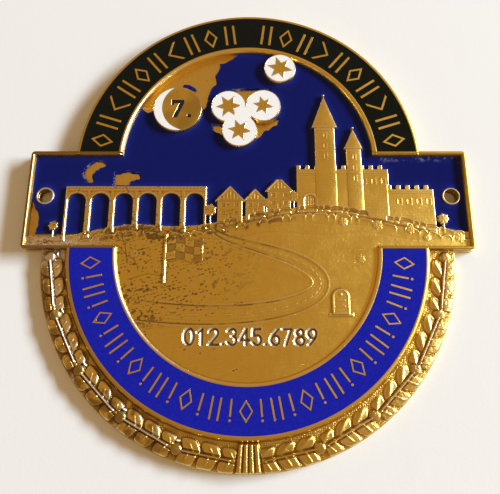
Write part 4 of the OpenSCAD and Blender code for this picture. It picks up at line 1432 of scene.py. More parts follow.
@dataclass
class Ornament:
    """The raised strokes that stand through the enamels of the arch and the band."""

    plan: Plan = PLAN
    arch_count: int = 10
    arch_h: float = 4.9
    arch_stroke: float = 0.5
    band_count: int = 33
    band_h: float = 4.2
    band_stroke: float = 0.36
    spread: float = 0.02
    bevel: float = 0.01

    def motif(self, kind: int, h: float, w: float) -> list[list[Array]]:
        """Outlines of one motif standing upright at the origin.

        Args:
            kind: 0 lozenge, 1 two posts, 2 pointer, 3 post with a dot.
            h: height.
            w: stroke width.

        Returns:
            For each stroke its outline, and the outline of its hole if it has one.
        """
        half = h * 0.31
        if kind == 0:
            sizes = ((half, h / 2), (half - w * 0.9, (half - w * 0.9) / 0.62))
            return [[np.array([(-a, 0), (0, -b), (a, 0), (0, b)]) for a, b in sizes]]
        if kind == 1:
            return [[self.post(s * half * 0.6, 0, h, w)] for s in (-1, 1)]
        if kind == 2:
            t, end = w * 1.2, h / 2
            corners = [(-half, -end), (t - half, -end), (half, 0)]
            corners += [(t - half, end), (-half, end), (half - t, 0)]
            return [[np.array(corners)]]
        a = np.linspace(0, 2 * math.pi, 16, endpoint=False)
        dot = np.stack([0.7 * w * np.cos(a), 0.7 * w * np.sin(a) - 0.42 * h], 1)
        return [[self.post(0, h * 0.12, h * 0.76, w)], [dot]]

    def post(self, cx: float, cy: float, h: float, w: float) -> Array:
        """Outline of an upright bar."""
        return np.array([(cx + s * w / 2, cy + t * h / 2) for s, t in ((-1, -1), (1, -1), (1, 1), (-1, 1))])

    def raised(self, outline: list[Array]) -> Shell:
        """Solid of one stroke: walls from the enamel's floor, a small bevel and a flat top."""
        p = self.plan
        levels = [(self.spread, p.fill_floor - 0.1), (self.spread, p.plate_t - 0.06)]
        levels += [(-self.bevel, p.plate_t - 0.002)]
        walls = [
            [np.column_stack([moved_out(loop, side * d), np.full(len(loop), z)]) for d, z in levels]
            for side, loop in zip((1, -1), outline)
        ]
        if len(walls) == 1:
            return tube(np.stack(walls[0]), looped=False)
        return tube(np.stack(walls[0] + walls[1][::-1], 1), looped=True)

    def placed(self, shell: Shell, angle: float, r: float, cy: float, mirror: bool, flip: bool) -> Shell:
        """Turns a motif to stand along a radius at a place on its arc."""
        u, v = (shell.points[:, :2] * (-1 if flip else 1)).T
        a, b = math.radians(angle - 90), math.radians(angle)
        x = u * math.cos(a) - v * math.sin(a) + r * math.cos(b)
        y = u * math.sin(a) + v * math.cos(a) + r * math.sin(b)
        points = np.column_stack([-x if mirror else x, y + cy, shell.points[:, 2]])
        moved = Shell(points, shell.quads, shell.caps)
        return moved.turned() if mirror else moved

    def row(self, kinds: Sequence[int], angles: Array, h: float, w: float, r: float, cy: float,
            mirrored: Sequence[bool], flip: bool) -> Shell:
        """One row of motifs on an arc, as one surface of many closed strokes."""
        total: Shell | None = None
        for mirror in mirrored:
            for k, angle in enumerate(angles):
                for outline in self.motif(kinds[k % len(kinds)], h, w):
                    part = self.placed(self.raised(outline).outward(), angle, r, cy, mirror, flip)
                    total = part if total is None else total.join(part)
        return total

    def build(self, shop: Workshop) -> None:
        """Makes the arch's motifs and the band's motifs."""
        p = self.plan
        mid, sizes = (p.arch_fill_r + p.arch_fill_in_r) / 2, (self.arch_h, self.arch_stroke)
        first = math.degrees(math.asin((p.ear_top - p.arch_y) / mid)) + 4.5
        angles = np.linspace(first, 82.5, self.arch_count)
        shell = self.row([0, 1, 2, 1], angles, *sizes, mid, p.arch_y, (False, True), False)
        shop.make(shell, "arch_motifs", 20)
        mid, sizes = (p.band_fill_r + p.band_fill_in_r) / 2, (self.band_h, self.band_stroke)
        angles = np.linspace(186, 354, self.band_count)
        shell = self.row([0, 3, 1, 3], angles, *sizes, mid, 0.0, (False,), True)
        shop.make(shell, "band_motifs", 20)


# Oak wreath


@dataclass
class OakWreath:
    """The wreath round the foot: ten oak leaves, tips over the next leaf's foot, and the tie."""

    plan: Plan = PLAN
    leaves: int = 5
    lobes: int = 3
    width: float = 5.5
    tie_w: float = 4.2
    tie_x: float = 0.5
    cords: int = 4
    rib_w: float = 0.46
    cell: float = 0.085

    @property
    def mid_r(self) -> float:
        """Radius on which the leaves' ends lie."""
        return self.plan.band_r + self.width * 0.685

    def place(self, angle: float) -> Pair:
        """Place of a leaf's end at an angle; the ring of ends is 0.4 mm narrower at the ears."""
        r = self.mid_r - 0.4 * (1 + math.sin(angle))
        return r * math.cos(angle), r * math.sin(angle)

    def leaf(self, u: Array, v: Array, length: float, right: bool, extra: float) -> tuple[Array, Array]:
        """Height of one leaf over the wreath's ground, without its rib and its round tip.

        Args:
            u: place along the rib, 0 at the tip and negative towards the foot.
            v: place across it, positive to the outer side.
            length: length of the leaf.
            right: the leaf is on the right side, where the inner lobes are folded petals.
            extra: how much farther than usual the outer lobes reach.

        Returns:
            Lobes that lean to the tip. At q from −1 to 1 through a lobe its reach W is a round or a
            blunt arch over q, and its height h·√(1 − (w/W)⁴) at w from the rib, less a groove
            between two lobes. A fine vein, or the petal's fold, stands on each lobe. With it the
            glints, which lie on the inner lobes' edges that look to the foot.
        """
        w, inner = abs(v), v < 0
        pitch = length / 3.15
        slant, shift = (0.5, 0.44) if right else (0.25, 0.28)
        t = (-u + w * np.where(inner, 0.5, slant)) / pitch - np.where(inner, 0.46, shift)
        k = np.floor(t)
        q = 2 * (t - k) - 1
        far = np.where(inner, 2.4, (2.5 if right else 2.1) + extra) * (1 - 0.05 * np.clip(k, 0, 3))
        reach = 0.5 + (far - 0.5) * np.sqrt(1 - abs(q) ** np.where(inner, 3.4, 2.2 if right else 3.0))
        high = 0.6 * dome((w / reach) ** 2)
        high *= 1 - 0.66 * bell((1 - abs(q)) / 0.15) - 0.16 * q * q
        out = held(w / reach)
        if right:
            fold = bell((q - 0.7 + 1.1 * out) / 0.34) * held((1 - out) / 0.15)
            high = np.where(inner, high * 0.72 + 0.26 * fold * (high > 0.05), high)
        glint = bell((q - 0.62) / 0.24) * eased(held((out - 0.3) / 0.4)) * inner * (high > 0.1)
        bend = np.where(inner, 0.25, -0.1) * (out - 0.5)
        high += 0.13 * bell((q + bend) / 0.1) * held((0.72 - out) / 0.15) * (high > 0.1) * ~(inner & right)
        high -= 0.25 * bell((w - 0.37) / 0.12) * (high > 0.2)
        return high * ((k >= 0) & (k < self.lobes) & (u > 0.4 - length)), glint

    def rib(self, u: Array, v: Array, length: float) -> Array:
        """Height of a leaf's rib: 0.86·√(1 − q²) across its width, run out at both ends."""
        ridge = 0.86 * dome(v / (self.rib_w * 0.5))
        return ridge * held((-1.0 - u) / 0.3) * held((u + length - 0.9) / 0.4)

    def tip(self, u: Array, v: Array) -> Array:
        """Height of the round tip: 0.8·√(1 − q⁴), q from its middle 0.6 mm behind the end."""
        return 0.8 * dome(((u + 0.6) / 1.2) ** 2 + (v / 1.12) ** 2)

    def relief(self, x: Array, y: Array) -> Relief:
        """Height field of the wreath's ground, leaves and tie."""
        p = self.plan
        r = Relief(x, y, p.wreath_ground)
        radius = np.hypot(x, y)
        rim = disc(x, y, 0, p.wreath_y, p.wreath_r)
        r.dots(np.ones(x.shape), 0.1, 0.34, 101)
        tie, turn = math.asin(self.tie_w / 2 / self.mid_r), math.asin(self.tie_x / self.mid_r)
        span = math.pi / 2 - tie - math.asin(1.3 / self.mid_r)
        high, knots = np.zeros(x.shape), np.zeros(x.shape)
        for side in (1, -1):
            step = (span - side * turn) / self.leaves
            for k in range(1, self.leaves + 1):
                a = -math.pi / 2 + tie + side * turn + k * step
                (ex, ey), (fx, fy) = (self.place(b) for b in (a, a - step))
                length = math.hypot(ex - fx, ey - fy)
                cx, cy = (ex - fx) / length, (ey - fy) / length
                dx, dy = side * x - ex, y - ey
                near = (abs(dx) < length + 2) & (abs(dy) < length + 2)
                u, v = (dx * cx + dy * cy)[near], (dx * cy - dy * cx)[near]
                leaf, glint = self.leaf(u, v, length, side > 0, -0.75 * math.sin(a))
                rib, tip = self.rib(u, v, length), self.tip(u, v)
                # A small raised patch by each left knot, given a silvery painted highlight.
                glint_spot = bell((u + 0.2 + 0.8 * (v + 1.5)) / 0.75) * bell((v + 1.5) / 0.3) * (side < 0)
                shape = np.maximum.reduce([leaf, rib, tip, 0.5 * glint_spot])
                over = self.tip(u * 0.85, v * 0.85) > 0
                high[near] = np.where(over, shape, np.maximum(high[near], shape))
                knots[near] = np.where(over, np.clip(tip, 0, 0.6), knots[near])
                shine = np.maximum.reduce([0.7 * (rib > 0.4), 0.9 * glint_spot, 0.55 * glint])
                r.silver[near] = np.maximum(np.where(over, 0, r.silver[near]), shine)
        fade = held((-rim - 0.06) / 0.5) * held((radius - p.band_r - 0.4) / 0.3)
        high *= np.sqrt(fade)
        far = eased(held((-3 - x) / 19))
        # Silvery marks: on the left the ribs, the patches by the knots and the lobe glints are painted
        # highlights, pale lightens the upper inner lobes and rubbed is wear; on the right, lobes puts
        # painted highlights on the ribs and faintly on every lobe.
        pale = 0.22 * (radius < self.mid_r - 0.4) * (high > 0.2) * held((y + 26) / 14)
        rubbed = 0.6 * held((y + 6) / 4) * held(clouds(x, y, 1.1, 109) * 3 - 0.6)
        right = eased(held((x - 6) / 26))
        lobes = right * np.maximum(0.4 * (r.silver > 0.6), 0.07 * (high > 0.2))
        r.silver = np.maximum(far * np.maximum.reduce([r.silver, pale, rubbed]), lobes)
        # Darkening on the left: tarnish clouds and dark tips, with painted shade on the low ground between
        # the leaves and on the outer edge; towards the right only the tips keep it.
        outside = held((radius - self.mid_r + 0.3) / 0.4)
        dirt_and_shade = 2.5 * clouds(x, y, 1.0, 107, 2) - 0.95 + 0.6 * (high < 0.15) + knots + 0.6 * outside - 0.2
        r.stain = far * np.clip(dirt_and_shade, 0, 0.85) * (1 - r.silver) + (1 - far) * 0.7 * knots
        # Painted shade that dims the middle of the wreath's foot.
        r.add_stain_and_shade(0.3 * bell((x - 2) / 16))
        r.z = np.where(high > 0.02, p.wreath_ground + high, r.z)
        # Painted shade with tarnish in the valleys between the lobes, stronger on the left.
        r.add_stain_and_shade((0.5 + 0.4 * far) * held(r.hollow(4)) * (high > 0.03))
        self.bind(r, radius, rim)
        r.grain(1.0, 0.04, 0.8, 103)
        r.grain(0.02 + 0.07 * eased(held((x - 6) / 28)), 1.0, 0.28, 105)
        r.z = np.minimum(r.z, p.leaf_top + 0.1)
        roll = held((rim + 0.3) / 0.3)
        r.z -= (r.z - p.floor_t + 0.15) * roll**2
        return r

    def bind(self, r: Relief, radius: Array, rim: Array) -> None:
        """Lays the tie's cords side by side across the wreath, fanned to the outside."""
        pitch = self.tie_w / self.cords
        off = (r.x - self.tie_x) / (1 + 0.05 * (radius - 39))
        place = off / pitch + self.cords / 2
        across = (place - np.floor(place) - 0.5) * 2
        inside = (abs(off) < self.tie_w / 2) & (r.y < 0)
        cord = 0.86 * np.sqrt(held(1 - across**2 * 0.96))
        ends = held((radius - 37.0) / 0.4) * held((-rim - 0.1) / 0.4)
        r.z = np.where(inside, self.plan.wreath_ground - 0.05 + cord * np.sqrt(ends), r.z)

    def build(self, shop: Workshop) -> None:
        """Makes the wreath as one sector of rings and spokes, split at the tie."""
        p = self.plan
        inner, foot = p.band_r + 0.5, 1.5 * math.pi
        share = np.linspace(0, 1, int(5.5 / self.cell))[:, None]
        lift = math.asin((p.ear_bottom + 0.25) / 39)
        spans = {"wreath_left": (math.pi - lift, foot), "wreath_right": (foot, 2 * math.pi + lift)}
        for name, (start, end) in spans.items():
            a = np.linspace(start, end, int(39.2 * (end - start) / self.cell))[None, :]
            low = p.wreath_y * np.sin(a)
            outer = low + np.sqrt(low**2 - p.wreath_y**2 + p.wreath_r**2) - 0.016
            rr = inner + share * (outer - inner)
            x, y = rr * np.cos(a), rr * np.sin(a)
            r = self.relief(x, y)
            marks = r.marks(7)
            # Crests pale less than elsewhere, more so to the right, where the paler crest colour is a
            # painted sheen along with wear.
            marks["hollow"] *= np.where(marks["hollow"] < 0, 0.45 + 0.15 * held((x - 10) / 30), 1.0)
            shop.make(slab(x, y, r.z, p.buried, marks), name)


# Sky enamel


@dataclass
class SkyEnamel:
    """The sunk dark blue fill: a raised meniscus at every wall, and ragged places where it broke off."""

    scenery: Scenery
    discs: SkyDiscs
    plan: Plan = PLAN
    cell: float = 0.13

    def chips(self, x: Array, y: Array) -> Array:
        """Signed distance to the places without enamel, their borders made ragged by soft noise."""
        mx, my = self.discs.moon
        ear_x, ear_y = -self.plan.ear_half, self.plan.ear_bottom
        by_moon = [
            (-6.7, -0.4), (-12, 5), (-5, 16), (12.2, 19), (12.4, 14), (10.6, 12.2), (8.9, 11.7),
            (8.8, 10.2), (8.1, 9.2), (8, 6.4), (7, 5.6), (6.6, 4), (5.8, 0.6), (3.2, -1), (-3.8, 0.5),
        ]
        by_ear = [(-0.5, 10.7), (1, 10.5), (1.6, 8.9), (2.3, 8.3), (2.5, 5.7), (2.1, 2.9), (-0.5, 2.3)]
        small = [
            [(-33.9, 14.2), (-34.9, 16.2), (-34.3, 17.6), (-32.6, 19.0), (-31.0, 19.1), (-30.2, 18.2),
             (-31.8, 17.4), (-32.9, 16.2), (-32.6, 14.4)],
            [(-28.2, 13.6), (-28.0, 16.3), (-25.4, 16.6), (-22.9, 16.3), (-22.8, 15.2), (-24.8, 14.4),
             (-25, 13.6)],
            [(-4.0, 36.0), (0, 36.3), (4.8, 36.3), (5, 34), (1.5, 32), (-1.5, 32)],
            [(-7.5, 27.6), (-7.4, 26.4), (-6, 25.6), (-5.5, 25.4), (-5.3, 27.5)],
            [(1.1, 28.7), (3, 28.1), (6.6, 29), (6, 27.6), (3.5, 26), (2.4, 24.8), (1.9, 24.6), (2, 26.5)],
        ]
        flake = [(0.3, 5.4), (1, 6.6), (2.2, 6.5), (3.9, 5.6), (3.7, 5.05), (2.2, 5.45)]
        gone = [area(x - mx, y - my, by_moon), area(x - ear_x, y - ear_y, by_ear)]
        gone += [area(x, y, corners) for corners in small]
        ragged = (clouds(x, y, 0.9, 201, 2) - 0.5) * 0.55
        kept = area(x - mx, y - my, flake) + ragged * 0.4
        return np.maximum(np.minimum.reduce(gone) + ragged, -kept)

    def room(self, x: Array, y: Array) -> Array:
        """Distance to the nearest wall round the enamel, negative under the metal."""
        p = self.plan
        inset = p.rim_w + 0.1
        ears = -block(x, y, inset - p.ear_half, p.ear_half - inset, p.ear_bottom + inset, p.ear_top - inset)
        arch = -disc(x, y, 0, p.inner_y, p.sky_r)
        outer = np.maximum(ears, np.where(y > 16, arch, -9.0))
        holes = np.minimum(*(disc(x, y, s * p.hole_x, p.hole_y, p.collar_r) for s in (-1, 1)))
        return np.minimum.reduce([outer, self.discs.outline(x, y), self.scenery.outline(x, y), holes])

    def surface(self, x: Array, y: Array) -> tuple[Array, dict[str, Array]]:
        """Height field and marks of the fill.

        Args:
            x, y: the grid.

        Returns:
            The height: the fill's level, a rim of 0.09·exp(−d/0.3) at each wall d away, and the
            drop below the plate's floor where the fill is gone. The marks say how thin it is and
            how near a broken edge or the scuffed top of the right ear.
        """
        p = self.plan
        d = np.maximum(self.room(x, y), 0)
        gone = self.chips(x, y)
        z = p.sky_top + 0.09 * np.exp(-d / 0.3) - 0.03 * (1 - np.exp(-d / 1.5))
        z += 0.012 * (clouds(x, y, 3.0, 203, 2) - 0.5)
        z += (p.floor_t - 0.12 - z) * cover(gone, 0.15)
        near_edge = bell(gone / 0.2) * (gone > -0.2)
        scuffed = bell((d - 0.5) / 0.45) * (x > 28) * (y > 18.6)
        return z, {"thin": np.exp(-d / 0.5), "broken": np.maximum(near_edge, scuffed)}

    def build(self, shop: Workshop) -> None:
        """Makes the fill of the arch and of the ear panel, and opens it at both holes."""
        p = self.plan
        half, seam, reach = p.ear_half - 0.6, p.ear_top - p.rim_w, p.sky_r + 0.35
        u = np.linspace(-1, 1, int(2 * reach / self.cell))
        v = np.linspace(seam, p.inner_y + reach - 0.02, int(25 / self.cell))
        left, right = ((-1, HOLE_ROOM),), ((1, HOLE_ROOM),)
        for name, (x, y), holes, also in (
            ("sky_fill_left", even_grid(-half, 0.0, 3.0, seam, self.cell), left, ()),
            ("sky_fill_right", even_grid(0.0, half, 3.0, seam, self.cell), right, ()),
            ("sky_fill_arch", round_grid(u, v, p.inner_y, reach), (), ("sky_enamel_flake",)),
        ):
            z, marks = self.surface(x, y)
            shop.make(slab(x, y, z, p.buried + 0.2, marks), name, holes=holes, also=also)


# Finishes


class Nodes:
    """A node tree with short calls for the nodes that the finishes use."""

    def __init__(self, tree: NodeTree) -> None:
        """Wraps a tree."""
        self.tree = tree

    def make(self, kind: str, sockets: dict[str | int, object] | None = None, **settings: object) -> Node:
        """Adds a node, sets its properties and feeds its inputs by name or number."""
        node = self.tree.nodes.new(kind)
        for key, value in settings.items():
            setattr(node, key, value)
        self.fill(node, sockets or {})
        return node

    def fill(self, node: Node, sockets: dict[str | int, object]) -> None:
        """Links an output to each named socket, or sets the socket where the value is plain."""
        for key, value in sockets.items():
            if isinstance(value, NodeSocket):
                self.tree.links.new(value, node.inputs[key])
            else:
                node.inputs[key].default_value = value

    def math(self, operation: str, a: object, b: object = 0.0, clamp: bool = False) -> NodeSocket:
        """Arithmetic on two values."""
        return self.make("ShaderNodeMath", {0: a, 1: b}, operation=operation, use_clamp=clamp).outputs[0]

    def times(self, a: object, b: object) -> NodeSocket:
        """Product of two values."""
        return self.math("MULTIPLY", a, b)

    def plus(self, a: object, b: object, clamp: bool = False) -> NodeSocket:
        """Sum of two values."""
        return self.math("ADD", a, b, clamp)

    def blend(self, share: object, a: object, b: object) -> NodeSocket:
        """Colour between a and b."""
        a, b = ((*c, 1) if isinstance(c, tuple) else c for c in (a, b))
        return self.make("ShaderNodeMix", {0: share, 6: a, 7: b}, data_type="RGBA").outputs[2]

    def span(self, *values: object) -> NodeSocket:
        """Value moved from the span low to high to another, 0 to 1 if none is given, and held inside it."""
        return self.make("ShaderNodeMapRange", dict(enumerate(values)), clamp=True).outputs[0]

    def noise(self, place: object, scale: float, detail: float = 3.0, rough: float = 0.55) -> NodeSocket:
        """Soft noise."""
        sockets = {"Vector": place, "Scale": scale, "Detail": detail, "Roughness": rough}
        return self.make("ShaderNodeTexNoise", sockets).outputs[0]

    def in_mm(self) -> NodeSocket:
        """Object coordinates in millimetres."""
        place = self.make("ShaderNodeTexCoord").outputs["Object"]
        return self.make("ShaderNodeVectorMath", {0: place, "Scale": 1 / MM}, operation="SCALE").outputs[0]

    def stretched(self, place: object, scale: Triple, turn: float = 0.0) -> NodeSocket:
        """Coordinates turned about Z, then scaled by axis."""
        sockets = {"Vector": place, "Rotation": (0, 0, math.radians(turn)), "Scale": scale}
        return self.make("ShaderNodeMapping", sockets).outputs[0]

    def mark(self, name: str) -> NodeSocket:
        """A named mark of the mesh."""
        return self.make("ShaderNodeAttribute", attribute_name=name).outputs["Fac"]

    def bump(self, height: object, distance: float, strength: float = 1.0) -> NodeSocket:
        """Normal from a height."""
        sockets = {"Strength": strength, "Distance": distance, "Height": height}
        return self.make("ShaderNodeBump", sockets).outputs["Normal"]


def new_group(name: str, takes: dict[str, str], gives: dict[str, str]) -> tuple[Nodes, Node, Node]:
    """Starts a shader node group whose inputs and outputs have these names and socket types.

    Returns:
        The group's nodes, its input node and its output node.
    """
    tree = bpy.data.node_groups.new(name, "ShaderNodeTree")
    for way, sockets in (("INPUT", takes), ("OUTPUT", gives)):
        for key, kind in sockets.items():
            tree.interface.new_socket(name=key, in_out=way, socket_type=kind)
    nodes = Nodes(tree)
    return nodes, nodes.make("NodeGroupInput"), nodes.make("NodeGroupOutput")


FLOAT, VECTOR = "NodeSocketFloat", "NodeSocketVector"


def blank_material(name: str) -> tuple[Material, Nodes, Node]:
    """Starts a material: the material, its nodes and its shader."""
    material = bpy.data.materials.new(name)
    material.use_nodes = True
    return material, Nodes(material.node_tree), material.node_tree.nodes["Principled BSDF"]


def wear_group() -> NodeTree:
    """Group of age marks: cloudy patches, fine specks, hair scratches and a grain height."""
    n, takes, gives = new_group(
        "age_marks", {"Place": VECTOR, "Amount": FLOAT},
        {"Cloud": FLOAT, "Speck": FLOAT, "Scratch": FLOAT, "Grain": FLOAT},
    )
    place, amount = takes.outputs["Place"], takes.outputs["Amount"]
    cloud = n.span(n.noise(place, 0.16, 5.0, 0.62), 0.36, 0.66)
    speck = n.span(n.noise(place, 1.5, 3.0, 0.6), 0.6, 0.7)
    sparse = n.span(n.noise(place, 0.35, 2.0), 0.42, 0.6)
    speck = n.times(n.times(speck, sparse), amount)
    lines = n.noise(n.stretched(place, (0.35, 7.0, 1.0), 28), 1.0, 2.0)
    other = n.noise(n.stretched(place, (0.3, 6.0, 1.0), -52), 1.0, 2.0)
    scratch = n.math("MAXIMUM", n.span(lines, 0.66, 0.72), n.span(other, 0.68, 0.74))
    grain = n.plus(n.noise(place, 2.2, 4.0, 0.7), n.times(n.noise(place, 9.0, 2.0), 0.35))
    n.fill(gives, {"Cloud": cloud, "Speck": speck, "Scratch": scratch, "Grain": grain})
    return n.tree


@dataclass(frozen=True)
class GiltBrass:
    """Gilt brass, satin and rubbed: yellow at the right, browner and pitted to the left, the browning partly
    a painted shade of the left half.

    Attributes:
        bright: colour of the clean metal.
        brown: colour of the tarnished metal.
        dark: colour of stains, of tarnish and painted shade in the deepest hollows, and of painted shade on
            the rims.
        worn_and_sheen: colour of crests that are rubbed bare, and of a painted sheen on them.
        silver: silvery colour of places rubbed bare and of painted highlights, as inside the punched
            numerals.
        rough: roughness of the clean metal.
    """

    name: str = "gilt_brass"
    bright: Colour = (0.90, 0.62, 0.12)
    brown: Colour = (0.80, 0.50, 0.095)
    dark: Colour = (0.155, 0.072, 0.022)
    worn_and_sheen: Colour = (0.93, 0.84, 0.62)
    silver: Colour = (0.88, 0.89, 0.88)
    rough: float = 0.29

    def make(self, marks: NodeTree) -> Material:
        """Makes the material from the shared group of age marks."""
        material, n, shader = blank_material(self.name)
        place = n.in_mm()
        across = n.make("ShaderNodeSeparateXYZ", {0: place}).outputs[0]
        left = n.span(across, 16.0, -44.0)
        amount = n.span(left, 0.0, 1.0, 0.15, 1.0)
        age = n.make("ShaderNodeGroup", {"Place": place, "Amount": amount}, node_tree=marks).outputs
        hollow, stain, silver = n.mark("hollow"), n.mark("stain"), n.mark("silver")
        cloud = n.times(age["Cloud"], n.span(left, 0.0, 1.0, 0.35, 0.75))
        # Browner to the left: mottled tarnish, and a plain ramp that paints the shade of the left half.
        brown = n.plus(cloud, n.times(left, 0.12), clamp=True)
        # Hollows darken, more on the left: tarnish and painted shade.
        deep = n.times(n.span(hollow, 0.0, 1.0), n.span(left, 0.0, 1.0, 0.4, 0.92))
        mark = n.math("MAXIMUM", stain, n.times(age["Speck"], 0.85))
        colour = n.blend(brown, self.bright, self.brown)
        colour = n.blend(deep, colour, self.dark)
        # Crests pale towards the rubbed colour: wear and a painted sheen.
        colour = n.blend(n.span(hollow, 0.0, -1.0, 0.0, 0.55), colour, self.worn_and_sheen)
        # Places rubbed bare and painted highlights take the silvery colour.
        colour = n.blend(silver, colour, self.silver)
        # Stains, specks and painted shade darken towards the dark colour.
        colour = n.blend(n.times(mark, 0.88), colour, self.dark)
        dull = n.math("MAXIMUM", mark, n.times(deep, 0.7))
        rough = n.span(age["Cloud"], 0.0, 1.0, self.rough - 0.04, self.rough + 0.07)
        rough = n.plus(rough, n.times(silver, 0.12))
        rough = n.plus(rough, n.span(across, 4.0, 42.0, 0.0, 0.11))
        height = n.math("SUBTRACT", age["Grain"], n.times(age["Scratch"], 0.3))
        n.fill(shader, {
            "Base Color": colour,
            "Metallic": n.span(dull, 0.0, 1.0, 1.0, 0.88),
            "Specular IOR Level": 0.1,
            "Roughness": n.math("SUBTRACT", rough, n.times(age["Scratch"], 0.05)),
            "Normal": n.bump(height, 0.00003, 0.9),
        })
        return material


@dataclass(frozen=True)
class Enamel:
    """A coloured fill: glossy, with faint specks, scuffs and a slightly wavy skin.

    Attributes:
        name: name of the material.
        colour: colour of the fill.
        pale: colour of its specks, thin edges and scuffs.
        rough: gloss, 0 for a mirror.
        shine: strength of the reflection at right angles.
        specks: how strong the specks are.
        scuffs: how strong the scuffs are.
        edge: how pale the fill is at the walls, where it is thin.
        broken: colour of its broken edges.
    """

    name: str
    colour: Colour
    pale: Colour
    rough: float = 0.12
    shine: float = 0.35
    specks: float = 0.3
    scuffs: float = 0.2
    edge: float = 0.0
    broken: Colour = (0.35, 0.38, 0.62)

    def make(self, marks: NodeTree) -> Material:
        """Makes the material from the shared group of age marks."""
        material, n, shader = blank_material(self.name)
        place = n.in_mm()
        age = n.make("ShaderNodeGroup", {"Place": place, "Amount": 1.0}, node_tree=marks).outputs
        share = n.times(n.span(n.noise(place, 3.2, 2.0), 0.35, 0.75), self.specks)
        share = n.plus(share, n.times(age["Scratch"], self.scuffs), clamp=True)
        colour = n.blend(share, self.colour, self.pale)
        if self.edge:
            colour = n.blend(n.times(n.mark("thin"), self.edge), colour, self.pale)
            torn = n.times(n.mark("broken"), n.span(n.noise(place, 0.7, 3.0), 0.48, 0.66, 0.0, 0.6))
            colour = n.blend(torn, colour, self.broken)
        wavy = n.plus(n.noise(place, 0.5, 2.0), n.times(age["Grain"], 0.06))
        n.fill(shader, {
            "Base Color": colour,
            "Roughness": n.span(age["Cloud"], 0.0, 1.0, self.rough, self.rough + 0.08),
            "Specular IOR Level": self.shine,
            "Normal": n.bump(wavy, 0.00006, 0.5),
        })
        return material


@dataclass(frozen=True)
class Paper:
    """Warm white paper under the plaque, with faint fibres."""

    name: str = "paper"
    colour: Colour = (0.885, 0.915, 0.945)
    shade: Colour = (0.87, 0.895, 0.915)

    def make(self) -> Material:
        """Makes the material."""
        material, n, shader = blank_material(self.name)
        place = n.in_mm()
        smudge = n.span(n.noise(n.stretched(place, (0.09, 0.025, 1.0), 8), 1.0, 4.0), 0.5, 0.72)
        shade = n.math("MAXIMUM", n.times(n.noise(place, 0.4, 4.0), 0.6), smudge)
        n.fill(shader, {
            "Base Color": n.blend(shade, self.colour, self.shade), "Roughness": 0.85,
            "Specular IOR Level": 0.2, "Normal": n.bump(n.noise(place, 1.4, 4.0), 0.00004, 0.4),
        })
        return material


# Studio


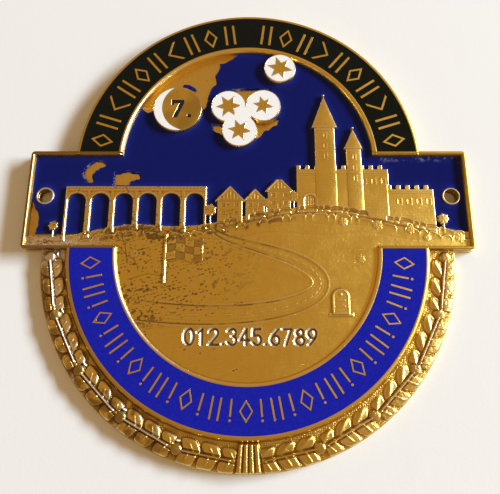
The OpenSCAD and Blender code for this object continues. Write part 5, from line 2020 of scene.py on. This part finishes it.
@dataclass
class Studio:
    """Paper floor, window light from the right, and the camera of the picture."""

    lamp_place: Triple = (3.09, 0.83, 1.42)
    lamp_side: Pair = (2.0, 0.6)
    lamp_watts: float = 230.0
    lamp_colour: Colour = (0.80, 0.91, 1.0)
    world: Colour = (0.43, 0.275, 0.13)
    world_level: float = 1.0
    backdrop: Colour = (0.86, 0.85, 0.82)
    floor_half: float = 1.5
    camera_place: Triple = (1.51, -31.43, 99.98)
    camera_turn: Triple = (0.0019939, 0.2569433, 0.0085883)
    lens: float = 36.0

    def build(self) -> None:
        """Makes the floor, the lights, the world and the camera."""
        self.lay_floor()
        self.hang_lamp()
        self.set_world()
        self.set_camera()
        bpy.context.scene.view_settings.view_transform = "Standard"

    def lay_floor(self) -> None:
        """Lays the paper on the plane of the plaque's back."""
        mesh = bpy.data.meshes.new("floor")
        h = self.floor_half
        mesh.from_pydata([(-h, -h, 0), (h, -h, 0), (h, h, 0), (-h, h, 0)], [], [(0, 1, 2, 3)])
        mesh.materials.append(Paper().make())
        put("floor", mesh)

    def hang_lamp(self) -> None:
        """Hangs the flat soft lamp of the window, facing the plaque."""
        data = bpy.data.lights.new("window", "AREA")
        data.shape, data.energy, data.color = "RECTANGLE", self.lamp_watts, self.lamp_colour
        data.size, data.size_y = self.lamp_side
        back = np.array(self.lamp_place) / np.linalg.norm(self.lamp_place)
        right = np.cross((0, 0, 1), back)
        right /= np.linalg.norm(right)
        turn = Matrix(np.stack([right, np.cross(back, right), back], 1).tolist()).to_4x4()
        put("window", data).matrix_world = Matrix.Translation(self.lamp_place) @ turn

    def set_world(self) -> None:
        """Sets the even light of the room, and the pale backdrop that only the camera sees."""
        world = bpy.data.worlds.new("room")
        world.use_nodes = True
        n = Nodes(world.node_tree)
        seen = n.make("ShaderNodeLightPath").outputs["Is Camera Ray"]
        colour = n.blend(seen, self.world, self.backdrop)
        n.fill(world.node_tree.nodes["Background"], {"Color": colour, "Strength": self.world_level})
        bpy.context.scene.world = world

    def set_camera(self) -> None:
        """Sets the camera: nearly overhead, tilted by 14.7 degrees towards the foot."""
        data = bpy.data.cameras.new("camera")
        data.lens, data.sensor_width, data.clip_start = self.lens, 36.0, MM
        z, x, y = (Matrix.Rotation(a, 4, axis) for a, axis in zip(self.camera_turn, "ZXY"))
        holder = put("camera", data)
        holder.matrix_world = Matrix.Translation([c * MM for c in self.camera_place]) @ (z @ x @ y)
        bpy.context.scene.camera = holder


def dress_nodes(nodes: dict[str, Object], marks: NodeTree) -> None:
    """Gives each CAD fill that stays its own finish, made from the shared group of age marks."""
    black = Enamel("black_enamel", (0.004, 0.006, 0.005), (0.03, 0.032, 0.026), 0.14, 0.12, 0.1, 0.2)
    blue = Enamel("bright_blue_enamel", (0.006, 0.010, 0.37), (0.03, 0.05, 0.54), 0.2, 0.12, 0.2, 0.1)
    white = Enamel("white_enamel", (0.92, 0.945, 0.965), (0.72, 0.73, 0.72), 0.16, 0.3, 0.12, 0.1)
    paint = Enamel("numeral_black", (0.008, 0.008, 0.008), (0.05, 0.045, 0.04), 0.45, 0.3, 0.3, 0.1)
    for finish, names in (
        (black, ("arch_enamel",)), (blue, ("band_enamel",)),
        (white, ("crescent_enamel", "star_enamel", "star_cluster_enamel")), (paint, ("numeral_paint",)),
    ):
        material = finish.make(marks)
        for name in names:
            mesh = nodes[name].data
            mesh.materials.clear()
            mesh.materials.append(material)
            log.info("%s: kept, finish %s", name, finish.name)


def main(frame: dict) -> None:
    """Builds the studio, the pieces of the plate and the fills, in that order."""
    Studio().build()
    marks = wear_group()
    mint = Workshop(GiltBrass().make(marks), "gilt_brass", ("struck_plate",))
    scenery, discs = Scenery(), SkyDiscs()
    for part in (PlateBody(), Rings(), EarRims(), Ornament(), scenery, discs, OakWreath()):
        part.build(mint)
    night = Enamel(
        "night_blue_enamel", (0.0030, 0.0070, 0.105), (0.016, 0.03, 0.30), 0.1, 0.12, 0.1, 0.06, edge=0.6
    )
    SkyEnamel(scenery, discs).build(Workshop(night.make(marks), "night_blue_enamel", ("sky_enamel",)))
    dress_nodes(frame["nodes"], marks)


if __name__ == "__main__":
    logging.basicConfig(level=logging.INFO, format="%(name)s: %(message)s")
    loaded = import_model()
    main(loaded)
